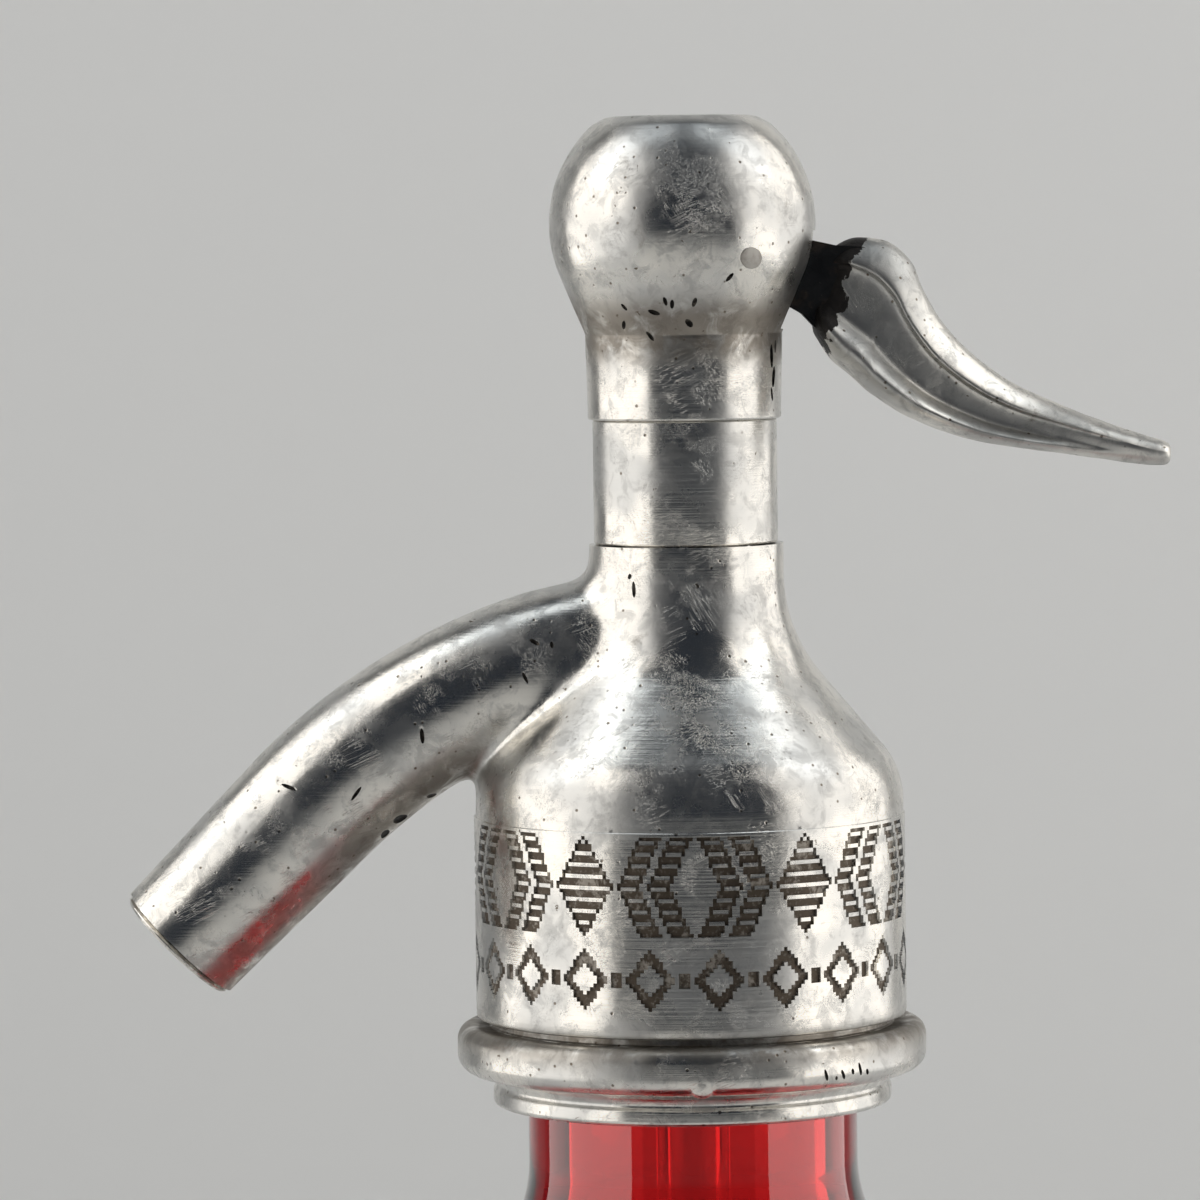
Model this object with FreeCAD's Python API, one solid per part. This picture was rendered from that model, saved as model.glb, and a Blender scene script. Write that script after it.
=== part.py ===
import FreeCAD, Part
import math
import os

# Soda siphon: a round glass bottle under pressure, closed by a cast pewter head with a
# curved spout and a horn-shaped lever that lifts a sprung valve.
# Millimetres. Origin: centre of the foot of the bottle, on the table. +Z is up, the
# spout points to -X and the lever to +X.

# ---- driving dimensions -------------------------------------------------------------

# bottle
bottle_radius = 52.0
bottle_height = 233.0          # table to the lip of the mouth
glass_wall = 4.5
foot_inner_radius = 34.0
heel_fillet = 7.0
push_up_height = 7.0           # hollow under the base
base_thickness = 9.0
body_top = 156.0               # end of the straight side
shoulder_slope = 57.0          # degrees from upright, where shoulder turns into neck
shoulder_fillet = 41.0
neck_fillet = 30.0
neck_radius = 17.6
waist_radius = 15.2            # groove in the glass that the split ring grips
waist_height = 2.6
bead_radius = 17.8
bead_height = 6.6
bead_slope = 1.6
mouth_radius = 14.8
mouth_height = 5.0
mouth_bore_radius = 10.5
neck_run_in = 1.8              # slope from neck to waist

# dip tube and its fixing
tube_radius = 4.0
tube_bore_radius = 2.5
tube_floor_gap = 4.0
tube_socket_depth = 4.0
holder_radius = 6.2
holder_flange_radius = 7.8
holder_flange_height = 2.5
holder_length = 9.0
tube_seal_height = 6.0
boss_radius = 8.6
boss_drop = 7.5                # how far the boss hangs into the mouth

# neck fixing
gasket_thickness = 2.5
gasket_inset = 0.3
split_ring_height = 2.4
split_ring_radius = 19.8
split_ring_gap = 0.15
split_ring_kerf = 1.0
nut_lip_height = 4.0           # ring nut below its inner shelf
nut_bore_radius = 18.6
nut_wall = 1.4                 # threaded skirt
nut_foot_radius = 21.3
nut_foot_height = 1.6
nut_cove_radius = 20.9
nut_bead_radius = 25.1
nut_bead_height = 5.2
nut_height_to_shoulder = 8.4
nut_skirt_height = 11.4
groove_height = 0.9            # dark gap between ring nut and band

# head casting
band_radius = 23.0
band_wall = 1.6
band_height = 21.5
band_step = 0.12               # faint ledge over the band
bell_slope_bottom = 4.6        # band top to the first corner of the bell
bell_rise = 14.9
bell_fillet = 9.0
throat_fillet = 21.0
neck_casting_radius = 10.4
neck_casting_height = 9.4      # above the second corner of the bell
land_radius = 17.0             # gasket land
recess_clearance = 1.6
chamber_radius = 5.5
chamber_floor_below_top = 19.6
seat_height = 3.0
seat_bore_radius = 2.2
seat_lip_radius = 3.1
seat_lip_height = 0.5

# spout
spout_radius = 7.9
spout_tip_radius = 7.45
spout_bore_radius = 3.2
spout_below_neck_top = 10.2    # where the spout's centre line crosses the axis
spout_start_dip = 2.2          # degrees below level
spout_bend_radius = 60.3
spout_bend = 42.8              # degrees turned by the bend
spout_straight = 20.2
spout_crotch_fillet = 2.2
nozzle_bore_radius = 3.0
nozzle_radius = 4.7
nozzle_depth = 11.0
nozzle_lip_radius = 7.1
nozzle_lip_height = 0.6

# spring sleeve
sleeve_radius = 9.8
sleeve_height = 13.2
spigot_radius = 7.7
spigot_length = 6.8
washer_thickness = 0.6
guide_radius = 6.4
guide_height = 2.5
cap_spigot_radius = 8.2
cap_spigot_height = 4.0

# ball cap
skirt_radius = 10.3
skirt_height = 8.9
skirt_flare = 0.2              # wider at its top
skirt_fillet = 1.2
ball_radius = 14.23
ball_centre_height = 20.7      # above the bottom of the skirt
ball_flat_height = 32.1
ball_flat_fillet = 0.9
cap_bore_top = 28.0
slot_bottom_height = 9.4
slot_height = 10.4

# lever
lever_travel = 12.0            # degrees
pivot_reach = 7.0              # pin axis to valve axis
pivot_height = 17.0            # above the bottom of the skirt
pin_radius = 1.1
lever_thickness = 5.4
eye_reach = 2.6                # bar round its pin, from the pin axis
eye_rise = 2.4
eye_drop = 4.3
stub_reach = 9.2               # bar where it leaves the ball
stub_rise = 1.2
stub_drop = 8.0
tongue_reach = 16.2            # bar's end inside the horn
tongue_drop = 12.4
fork_radius = 1.9
fork_drop = 2.0
horn_reach = 44.3              # pin axis to the horn's tip
grip_width = 11.5
grip_web = 0.6                 # width of the horn's hollow flanks, as a share

# spindle and its pieces
spindle_radius = 1.25
valve_disc_radius = 3.9
valve_disc_height = 1.8
retainer_radius = 4.2
retainer_height = 1.0
packing_height = 2.0
piston_height = 3.0
lift_nut_radius = 3.2
lift_nut_height = 3.2
lock_nut_radius = 2.9
lock_nut_height = 1.8
spindle_tail = 1.4
spring_coil_radius = 3.9
spring_wire = 0.95             # side of the square wire
spring_turns = 5

# edges
smallest_round = 1.0

# fits
running_clearance = 0.05       # pin and spindle in their bores
piston_clearance = 0.08
slot_clearance = 0.3
rest_gap = 0.15                # closed valve above its seat
nut_gap = 0.3                  # fork below the lift nut

# ---- levels worked out from them ----------------------------------------------------

bead_top = bottle_height - mouth_height
bead_bottom = bead_top - bead_height
waist_bottom = bead_bottom - waist_height
neck_top = waist_bottom - neck_run_in

land_level = bottle_height + gasket_thickness
shelf_level = bead_bottom - split_ring_height
nut_bottom = shelf_level - nut_lip_height
nut_shoulder = nut_bottom + nut_height_to_shoulder
nut_skirt_top = nut_shoulder + nut_skirt_height
nut_skirt_radius = band_radius - band_wall
nut_counterbore_radius = nut_skirt_radius - nut_wall
band_bottom = nut_shoulder + groove_height
band_top = band_bottom + band_height
bell_corner = band_top + bell_slope_bottom
throat_corner = bell_corner + bell_rise
casting_top = throat_corner + neck_casting_height
recess_top = nut_skirt_top + recess_clearance
boss_bottom = land_level - boss_drop

chamber_floor = casting_top - chamber_floor_below_top
seat_top = chamber_floor + seat_height
seat_lip_top = seat_top + seat_lip_height
holder_top = boss_bottom + holder_length
tube_top = holder_top + tube_seal_height + tube_socket_depth
tube_bottom = push_up_height + base_thickness + tube_floor_gap

sleeve_bottom = casting_top
sleeve_top = sleeve_bottom + sleeve_height
spigot_bottom = sleeve_bottom - spigot_length
chamber_roof = spigot_bottom - washer_thickness
guide_bottom = sleeve_top - guide_height
skirt_bottom = sleeve_top
pivot_level = skirt_bottom + pivot_height
ball_centre = skirt_bottom + ball_centre_height
slot_bottom = skirt_bottom + slot_bottom_height
fork_level = pivot_level - fork_drop

disc_bottom = seat_lip_top + rest_gap
disc_top = disc_bottom + valve_disc_height
retainer_top = disc_top + retainer_height
packing_bottom = spigot_bottom + rest_gap
piston_bottom = packing_bottom + packing_height
piston_top = piston_bottom + piston_height
lift_nut_bottom = fork_level + fork_radius + nut_gap
lift_nut_top = lift_nut_bottom + lift_nut_height
lock_nut_top = lift_nut_top + lock_nut_height
spindle_top = lock_nut_top + spindle_tail

UP = FreeCAD.Vector(0, 0, 1)
ALONG_PIN = FreeCAD.Vector(0, 1, 0)
CENTRE = FreeCAD.Vector(0, 0, 0)


# ---- tools of the trade -------------------------------------------------------------

def at(x, z, y=0.0):
    return FreeCAD.Vector(x, y, z)


def rounded_outline(corners):
    """Closed wire in the XZ plane. Each corner is (x, z) or (x, z, fillet radius).

    A corner that is eased by less than smallest_round gets a flat chamfer instead.
    """
    count = len(corners)
    starts = []
    ends = []
    mids = []
    for i in range(count):
        here = at(corners[i][0], corners[i][1])
        before = at(corners[i - 1][0], corners[i - 1][1])
        after = at(corners[(i + 1) % count][0], corners[(i + 1) % count][1])
        radius = corners[i][2] if len(corners[i]) > 2 else 0.0
        if radius <= 0:
            starts.append(here)
            ends.append(here)
            mids.append(None)
            continue
        back = before - here
        ahead = after - here
        room = 0.49 * min(back.Length, ahead.Length)
        back.normalize()
        ahead.normalize()
        half = back.getAngle(ahead) / 2
        reach = min(radius / math.tan(half), room)
        radius = reach * math.tan(half)
        bisector = (back + ahead).normalize()
        starts.append(here + back * reach)
        ends.append(here + ahead * reach)
        mids.append(here + bisector * (radius / math.sin(half) - radius))
    edges = []
    for i in range(count):
        if mids[i] is not None and corners[i][2] < smallest_round:
            edges.append(Part.LineSegment(starts[i], ends[i]).toShape())
        elif mids[i] is not None:
            edges.append(Part.Arc(starts[i], mids[i], ends[i]).toShape())
        following = starts[(i + 1) % count]
        if (following - ends[i]).Length > 1e-6:
            edges.append(Part.LineSegment(ends[i], following).toShape())
    return Part.Wire(edges)


def turned(corners):
    """Solid of revolution about the Z axis from corners given as (radius, height)."""
    face = Part.Face(rounded_outline(corners))
    return face.revolve(CENTRE, UP, 360)


def tube(inner, outer, bottom, top):
    solid = Part.makeCylinder(outer, top - bottom, at(0, bottom))
    if inner > 0:
        solid = solid.cut(Part.makeCylinder(inner, top - bottom, at(0, bottom)))
    return solid


def plate(outline, thickness):
    """Flat plate along Y, centred on the middle plane of the siphon."""
    face = Part.Face(outline)
    face.translate(at(0, 0, -thickness / 2))
    return face.extrude(at(0, 0, thickness))


def hexagon(across_corners, bottom, top):
    corners = []
    for i in range(7):
        angle = math.radians(60 * i)
        corners.append(at(across_corners * math.cos(angle), bottom,
                          across_corners * math.sin(angle)))
    return Part.Face(Part.makePolygon(corners)).extrude(at(0, top - bottom))


# ---- bottle -------------------------------------------------------------------------

def make_glass():
    slope = math.radians(shoulder_slope)
    throat = neck_top - neck_fillet * math.tan(slope / 2)
    shoulder = throat - (bottle_radius - neck_radius) / math.tan(slope)
    outside = turned([
        (0, 0), (bottle_radius, 0, heel_fillet),
        (bottle_radius, shoulder, shoulder_fillet), (neck_radius, throat, neck_fillet),
        (neck_radius, neck_top, 0.6), (waist_radius, waist_bottom, 0.5),
        (waist_radius, bead_bottom, 0.5), (bead_radius, bead_bottom + bead_slope, 0.8),
        (bead_radius, bead_top - bead_slope, 0.8), (mouth_radius, bead_top, 0.8),
        (mouth_radius, bottle_height, 0.8), (0, bottle_height)])
    floor = push_up_height + base_thickness
    inner_radius = bottle_radius - glass_wall
    inner_neck = neck_radius - glass_wall
    drop = glass_wall * math.tan(slope / 2)
    inside = turned([
        (0, floor), (foot_inner_radius, base_thickness),
        (inner_radius, base_thickness, heel_fillet),
        (inner_radius, shoulder - drop, shoulder_fillet - glass_wall),
        (inner_neck, throat - drop, neck_fillet + glass_wall), (inner_neck, neck_top),
        (mouth_bore_radius, bead_bottom + bead_slope), (mouth_bore_radius, bottle_height + 1),
        (0, bottle_height + 1)])
    hollow_radius = (foot_inner_radius ** 2 + push_up_height ** 2) / (2 * push_up_height)
    hollow = Part.makeSphere(hollow_radius, at(0, push_up_height - hollow_radius))
    below = tube(0, foot_inner_radius, 0, push_up_height)
    return outside.cut(inside).cut(hollow.common(below))


# The glass is one piece in real life. It is held as its straight-sided body and its
# shoulder with the neck, which meet where the shoulder's curve starts.
def body_space():
    return tube(0, 2 * bottle_radius, -1, body_top)


def make_bottle_body():
    return make_glass().common(body_space())


def make_bottle_shoulder():
    return make_glass().cut(body_space())


def make_dip_tube():
    return tube(tube_bore_radius, tube_radius, tube_bottom, tube_top)


def make_tube_seal():
    return tube(tube_radius, holder_radius, holder_top, holder_top + tube_seal_height)


def make_tube_holder():
    barrel = tube(0, holder_radius, boss_bottom, holder_top)
    flange = hexagon(holder_flange_radius, boss_bottom - holder_flange_height, boss_bottom)
    bore = Part.makeCylinder(tube_radius, bottle_height, at(0, boss_bottom - bottle_height / 2))
    return barrel.fuse(flange).cut(bore).removeSplitter()


def make_mouth_gasket():
    return tube(mouth_bore_radius, mouth_radius - gasket_inset, bottle_height, land_level)


# ---- neck fixing --------------------------------------------------------------------

def make_split_ring(side):
    """One half of the collar that sits in the waist of the neck. Side is -1 or 1."""
    ring = tube(waist_radius + split_ring_gap, split_ring_radius, shelf_level, bead_bottom)
    size = 2 * split_ring_radius
    half = Part.makeBox(size, size, size, at(-size / 2, shelf_level - size / 2,
                                             0 if side > 0 else -size))
    half.translate(at(0, 0, side * split_ring_kerf / 2))
    return ring.common(half)


def make_ring_nut():
    bead_bottom_level = nut_shoulder + 0.4 - nut_bead_height
    rim_fillet = nut_bead_height / 2
    return turned([
        (nut_bore_radius, nut_bottom, 0.4), (nut_foot_radius, nut_bottom, 0.6),
        (nut_foot_radius, nut_bottom + nut_foot_height, 0.5),
        (nut_cove_radius, nut_bottom + nut_foot_height + 0.5, 0.8),
        (nut_cove_radius + 0.6, bead_bottom_level - 0.3, 0.8),
        (nut_bead_radius, bead_bottom_level, rim_fillet),
        (nut_bead_radius, bead_bottom_level + nut_bead_height, rim_fillet),
        (nut_skirt_radius, nut_shoulder, 0.3),
        (nut_skirt_radius, nut_skirt_top, 0.4), (nut_counterbore_radius, nut_skirt_top),
        (nut_counterbore_radius, shelf_level), (nut_bore_radius, shelf_level)])


# ---- head casting with its spout ----------------------------------------------------

def spout_bend_centre():
    dip = math.radians(spout_start_dip)
    return at(spout_bend_radius * math.sin(dip),
              casting_top - spout_below_neck_top - spout_bend_radius * math.cos(dip))


def spout_direction():
    """Way that the water leaves."""
    angle = math.radians(spout_start_dip + spout_bend)
    return at(-math.cos(angle), -math.sin(angle))


def spout_bend_end():
    angle = math.radians(spout_start_dip + spout_bend)
    return spout_bend_centre() + at(-math.sin(angle), math.cos(angle)) * spout_bend_radius


def spout_tip():
    return spout_bend_end() + spout_direction() * spout_straight


def curved_rod(radius):
    """Round rod along the bend of the spout, from the axis of the head.

    The seam of the round surface is turned to the side, clear of the blend into the bell.
    """
    dip = math.radians(spout_start_dip)
    start = at(0, casting_top - spout_below_neck_top)
    heading = at(-math.cos(dip), -math.sin(dip))
    rim = Part.Wire(Part.Circle(start, heading, radius).toShape())
    rim.rotate(start, heading, 90)
    return Part.Face(rim).revolve(spout_bend_centre(), at(0, 0, -1), spout_bend)


def make_spout_outside():
    bend = curved_rod(spout_radius)
    straight = Part.makeCone(spout_radius, spout_tip_radius, spout_straight,
                             spout_bend_end(), spout_direction())
    return bend.fuse(straight)


def make_spout_bore():
    bend = curved_rod(spout_bore_radius)
    straight = Part.makeCylinder(spout_bore_radius, spout_straight,
                                 spout_bend_end(), spout_direction())
    socket = Part.makeCylinder(nozzle_radius, nozzle_depth, spout_tip(), -spout_direction())
    return bend.fuse(straight).fuse(socket)


def make_bell():
    """Outer form of the casting, filled."""
    return turned([
        (0, band_bottom), (band_radius, band_bottom, 0.4), (band_radius, band_top),
        (band_radius - band_step, band_top), (band_radius - band_step, bell_corner, bell_fillet),
        (neck_casting_radius, throat_corner, throat_fillet),
        (neck_casting_radius, casting_top, 0.15), (0, casting_top)])


def make_casting_hollow():
    """Water way and chamber on the axis, and the threaded mouth below."""
    mouth = turned([
        (boss_radius, band_bottom - 1), (nut_skirt_radius, band_bottom - 1),
        (nut_skirt_radius, recess_top), (land_radius, recess_top), (land_radius, land_level),
        (boss_radius, land_level)])
    below_boss = tube(0, boss_radius, band_bottom - 1, boss_bottom)
    holder = tube(0, holder_radius, boss_bottom, holder_top + tube_seal_height)
    socket = tube(0, tube_radius, holder_top + tube_seal_height, tube_top)
    way = tube(0, tube_bore_radius, tube_top, chamber_floor)
    chamber = tube(0, chamber_radius, chamber_floor, chamber_roof)
    counterbore = tube(0, spigot_radius, chamber_roof, casting_top)
    hollow = mouth
    for part in (below_boss, holder, socket, way, chamber, counterbore):
        hollow = hollow.fuse(part)
    return hollow


def spout_joint_edges(body):
    """Edges where the spout grows out of the bell: on both surfaces at once."""
    found = []
    for edge in body.Edges:
        middle = edge.valueAt((edge.FirstParameter + edge.LastParameter) / 2)
        from_axis = math.hypot(middle.x, middle.y)
        spoke = middle - spout_bend_centre()
        off_plane = middle.y
        from_line = math.hypot(math.hypot(spoke.x, spoke.z) - spout_bend_radius, off_plane)
        on_spout = abs(from_line - spout_radius) < 0.02
        on_bell = neck_casting_radius - 0.1 < from_axis < band_radius
        if on_spout and on_bell and middle.x < 0 and edge.Length > 1:
            found.append(edge)
    return found


def make_head_casting():
    body = make_bell().fuse(make_spout_outside()).removeSplitter()
    body = body.makeFillet(spout_crotch_fillet, spout_joint_edges(body))
    return body.cut(make_casting_hollow()).cut(make_spout_bore())


def make_nozzle_bush():
    """Bush pressed into the end of the spout, built upright and then laid along it."""
    bush = turned([
        (nozzle_bore_radius, -nozzle_depth), (nozzle_radius, -nozzle_depth, 0.3),
        (nozzle_radius, 0), (nozzle_lip_radius, 0, 0.25),
        (nozzle_lip_radius, nozzle_lip_height, 0.25), (nozzle_bore_radius, nozzle_lip_height, 0.3)])
    turn = FreeCAD.Rotation(UP, spout_direction())
    bush.Placement = FreeCAD.Placement(spout_tip(), turn)
    return bush


def make_valve_seat():
    return turned([
        (seat_bore_radius, chamber_floor), (chamber_radius, chamber_floor),
        (chamber_radius, seat_top), (seat_lip_radius + 0.4, seat_top),
        (seat_lip_radius, seat_lip_top, 0.15), (seat_bore_radius, seat_lip_top, 0.15)])


# ---- spring sleeve ------------------------------------------------------------------

def make_sleeve_washer():
    return tube(chamber_radius + 0.2, spigot_radius, chamber_roof, spigot_bottom)


def make_spring_sleeve():
    return turned([
        (chamber_radius, spigot_bottom), (spigot_radius, spigot_bottom, 0.3),
        (spigot_radius, sleeve_bottom), (sleeve_radius, sleeve_bottom, 0.2),
        (sleeve_radius, sleeve_top, 0.2), (cap_spigot_radius, sleeve_top),
        (cap_spigot_radius, sleeve_top + cap_spigot_height, 0.4),
        (guide_radius, sleeve_top + cap_spigot_height), (guide_radius, guide_bottom),
        (chamber_radius, guide_bottom)])


def make_spring_guide():
    return tube(spindle_radius + running_clearance, guide_radius, guide_bottom, sleeve_top)


def make_valve_spring():
    """Coil spring of square wire between the piston and the guide."""
    half = spring_wire / 2
    first = piston_top + running_clearance + half
    height = guide_bottom - half - first
    helix = Part.makeHelix(height / spring_turns, height, spring_coil_radius)
    helix.translate(at(0, first))
    corners = []
    for across, up in ((-half, -half), (half, -half), (half, half), (-half, half), (-half, -half)):
        corners.append(at(spring_coil_radius + across, first + up))
    return Part.Wire(helix.Edges).makePipeShell([Part.makePolygon(corners)], True, True)


# ---- ball cap -----------------------------------------------------------------------

def make_ball_cap():
    """Ball with a flat top that runs down to the skirt as a cone touching the ball."""
    corner_radius = skirt_radius + skirt_flare
    corner_drop = ball_centre_height - skirt_height
    from_centre = math.hypot(corner_radius, corner_drop)
    touch_angle = math.acos(ball_radius / from_centre) - math.atan2(corner_drop, corner_radius)
    touch_radius = ball_radius * math.cos(touch_angle)
    touch_level = ball_centre + ball_radius * math.sin(touch_angle)
    flat_level = skirt_bottom + ball_flat_height
    skirt = turned([
        (0, skirt_bottom), (skirt_radius, skirt_bottom, 0.25),
        (corner_radius, skirt_bottom + skirt_height, skirt_fillet),
        (touch_radius, touch_level), (0, touch_level)])
    ball = Part.makeSphere(ball_radius, at(0, ball_centre))
    ball = ball.common(tube(0, 2 * ball_radius, touch_level, flat_level))
    body = skirt.fuse(ball).removeSplitter()
    rim = [edge for edge in body.Edges if abs(edge.CenterOfMass.z - flat_level) < 0.01]
    body = body.makeFillet(ball_flat_fillet, rim)
    bore = tube(0, cap_spigot_radius, skirt_bottom, skirt_bottom + cap_bore_top)
    slot = Part.makeBox(2 * ball_radius, lever_thickness + 2 * slot_clearance, slot_height,
                        at(0, slot_bottom, -lever_thickness / 2 - slot_clearance))
    hole = Part.makeCylinder(pin_radius, 4 * ball_radius,
                             at(pivot_reach, pivot_level, -2 * ball_radius), ALONG_PIN)
    return body.cut(bore).cut(slot).cut(hole)


def make_lever_pin():
    """Pin through the ball, its ends filed flush with the round surface."""
    pin = Part.makeCylinder(pin_radius, 4 * ball_radius,
                            at(pivot_reach, pivot_level, -2 * ball_radius), ALONG_PIN)
    return pin.common(Part.makeSphere(ball_radius, at(0, ball_centre)))


# ---- lever --------------------------------------------------------------------------

def lever_point(reach, rise, fillet=0.0):
    """Corner of the lever given from its pin."""
    return (pivot_reach + reach, pivot_level + rise, fillet)


def make_tang():
    """Flat iron bar: fork inside the ball, tongue inside the grip."""
    outline = rounded_outline([
        (-fork_radius, fork_level - fork_radius, fork_radius * 0.95),
        lever_point(-eye_reach, -eye_drop, 1.5), lever_point(eye_reach, -eye_drop, 1.0),
        lever_point(0.6 * stub_reach, -0.75 * stub_drop, 0.8),
        lever_point(0.8 * stub_reach, -stub_drop, 0.8),
        lever_point(0.8 * tongue_reach, -tongue_drop, 1.5),
        lever_point(tongue_reach, -0.7 * tongue_drop, 1.5),
        lever_point(0.8 * tongue_reach, 0.8 * stub_rise, 1.8),
        lever_point(stub_reach, stub_rise, 0.8),
        lever_point(1.5 * eye_reach, eye_rise, 0.8), lever_point(-0.5 * eye_reach, eye_rise, 1.2),
        lever_point(-1.2 * eye_reach, fork_radius - fork_drop, 0.5),
        (-fork_radius, fork_level + fork_radius, fork_radius * 0.95)])
    return plate(outline, lever_thickness)


def make_lever_arm():
    """Bar with its pin hole and the fork slot, which leaves room for the rod as it tips."""
    rod_room = spindle_radius + slot_clearance
    tip_room = (fork_drop + fork_radius) * math.sin(math.radians(lever_travel))
    depth = 6 * fork_radius
    level = fork_level - depth / 2
    slot = Part.makeBox(depth + tip_room, 2 * rod_room, depth, at(-depth, level, -rod_room))
    slot_end = Part.makeCylinder(rod_room, depth, at(tip_room, level))
    hole = Part.makeCylinder(pin_radius + running_clearance, 2 * lever_thickness,
                             at(pivot_reach, pivot_level, -lever_thickness), ALONG_PIN)
    return make_tang().cut(slot).cut(slot_end).cut(hole)


def horn_point(reach, rise):
    """Point of the horn given from the pin, in shares of the horn's reach."""
    return at(pivot_reach + reach * horn_reach, pivot_level + rise * horn_reach)


def grip_section(high, low, half_width):
    """Facets across the horn: round back, hollow flanks and a flange along the belly."""
    middle = (high + low) * 0.5
    rise = (high - low) * 0.5
    flank = [
        (0.34, 0.95), (0.58, 0.78), (0.68, 0.5), (grip_web, 0.0), (0.7, -0.44), (1.0, -0.62),
        (0.86, -0.84), (0.42, -0.97)]
    points = [high]
    for wide, tall in flank:
        points.append(middle + rise * tall + ALONG_PIN * (half_width * wide))
    points.append(low)
    for wide, tall in reversed(flank):
        points.append(middle + rise * tall - ALONG_PIN * (half_width * wide))
    return Part.makePolygon(points + [high])


def make_horn():
    """Horn from its root to its tip: back, belly and share of the full width."""
    stations = [
        ((0.262, 0.047), (0.160, -0.196), 0.86), ((0.339, 0.036), (0.194, -0.248), 0.95),
        ((0.393, -0.014), (0.235, -0.282), 1.0), ((0.424, -0.088), (0.293, -0.334), 1.0),
        ((0.492, -0.192), (0.391, -0.395), 0.95), ((0.619, -0.298), (0.546, -0.449), 0.84),
        ((0.797, -0.381), (0.763, -0.483), 0.66), ((0.939, -0.433), (0.928, -0.506), 0.46),
        ((1.0, -0.463), (0.995, -0.501), 0.24)]
    sections = []
    for back, belly, share in stations:
        sections.append(grip_section(horn_point(*back), horn_point(*belly),
                                     share * grip_width / 2))
    return Part.makeLoft(sections, True, False)


def make_lever_grip():
    horn = make_horn()
    return horn.cut(make_tang())


# ---- spindle and the pieces on it ---------------------------------------------------

def make_spindle():
    return tube(0, spindle_radius, disc_top, spindle_top)


def make_valve_washer():
    return tube(0, valve_disc_radius, disc_bottom, disc_top)


def make_washer_retainer():
    return tube(spindle_radius, retainer_radius, disc_top, retainer_top)


def make_packing_cup():
    return turned([
        (spindle_radius, packing_bottom + 0.8), (chamber_radius - 1.6, packing_bottom + 0.8, 0.3),
        (chamber_radius - 1.2, packing_bottom), (chamber_radius - piston_clearance, packing_bottom),
        (chamber_radius - piston_clearance, piston_bottom), (spindle_radius, piston_bottom)])


def make_packing_washer():
    return turned([
        (spindle_radius, piston_bottom), (chamber_radius - 2 * piston_clearance, piston_bottom),
        (chamber_radius - 2 * piston_clearance, piston_top, 0.3), (spindle_radius, piston_top)])


def make_lift_nut():
    body = hexagon(lift_nut_radius, lift_nut_bottom, lift_nut_top)
    return body.cut(Part.makeCylinder(spindle_radius, 2 * lift_nut_height,
                                      at(0, lift_nut_bottom - lift_nut_height / 2)))


def make_lock_nut():
    body = hexagon(lock_nut_radius, lift_nut_top, lock_nut_top)
    return body.cut(Part.makeCylinder(spindle_radius, 2 * lock_nut_height,
                                      at(0, lift_nut_top - lock_nut_height / 2)))


# ---- assembly -----------------------------------------------------------------------

def make_all():
    return {
        "bottle_body": make_bottle_body(),
        "bottle_shoulder": make_bottle_shoulder(),
        "dip_tube": make_dip_tube(),
        "tube_seal": make_tube_seal(),
        "tube_holder": make_tube_holder(),
        "mouth_gasket": make_mouth_gasket(),
        "split_ring_front": make_split_ring(-1),
        "split_ring_back": make_split_ring(1),
        "ring_nut": make_ring_nut(),
        "head_casting": make_head_casting(),
        "nozzle_bush": make_nozzle_bush(),
        "valve_seat": make_valve_seat(),
        "sleeve_washer": make_sleeve_washer(),
        "spring_sleeve": make_spring_sleeve(),
        "spring_guide": make_spring_guide(),
        "valve_spring": make_valve_spring(),
        "ball_cap": make_ball_cap(),
        "lever_pin": make_lever_pin(),
        "lever_arm": make_lever_arm(),
        "lever_grip": make_lever_grip(),
        "spindle": make_spindle(),
        "valve_washer": make_valve_washer(),
        "washer_retainer": make_washer_retainer(),
        "packing_cup": make_packing_cup(),
        "packing_washer": make_packing_washer(),
        "lift_nut": make_lift_nut(),
        "lock_nut": make_lock_nut(),
    }


os.makedirs("parts", exist_ok=True)
for node, shape in make_all().items():
    shape.exportStep("parts/" + node + ".step")
    print(node, shape.isValid(), len(shape.Solids), round(shape.Volume, 1))
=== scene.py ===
import logging
import math
from abc import ABC, abstractmethod
from collections.abc import Callable, Sequence
from dataclasses import dataclass
from enum import Enum
from functools import cache

import bmesh
import bpy
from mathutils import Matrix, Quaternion, Vector


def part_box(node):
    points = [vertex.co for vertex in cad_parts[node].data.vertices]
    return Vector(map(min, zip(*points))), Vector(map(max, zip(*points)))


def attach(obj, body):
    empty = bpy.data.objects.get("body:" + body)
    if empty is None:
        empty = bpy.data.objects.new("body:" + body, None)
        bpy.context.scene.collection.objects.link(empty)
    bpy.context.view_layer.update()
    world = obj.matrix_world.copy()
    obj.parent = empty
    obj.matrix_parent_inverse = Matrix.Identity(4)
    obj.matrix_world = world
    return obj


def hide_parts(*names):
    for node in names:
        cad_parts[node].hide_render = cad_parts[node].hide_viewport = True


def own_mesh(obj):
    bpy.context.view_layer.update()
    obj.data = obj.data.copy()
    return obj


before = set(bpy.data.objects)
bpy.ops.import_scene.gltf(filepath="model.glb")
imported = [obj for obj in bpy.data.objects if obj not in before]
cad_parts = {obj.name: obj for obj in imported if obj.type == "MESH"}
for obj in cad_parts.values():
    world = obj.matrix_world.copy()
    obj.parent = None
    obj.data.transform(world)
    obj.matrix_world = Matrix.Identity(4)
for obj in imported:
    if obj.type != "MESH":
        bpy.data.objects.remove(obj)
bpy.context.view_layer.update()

log = logging.getLogger("siphon")

MM = 0.001
Colour = tuple[float, float, float]
Point = tuple[float, float]
Corner = tuple[float, ...]
Piece = bpy.types.Object
Material = bpy.types.Material
Socket = bpy.types.NodeSocket


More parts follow.
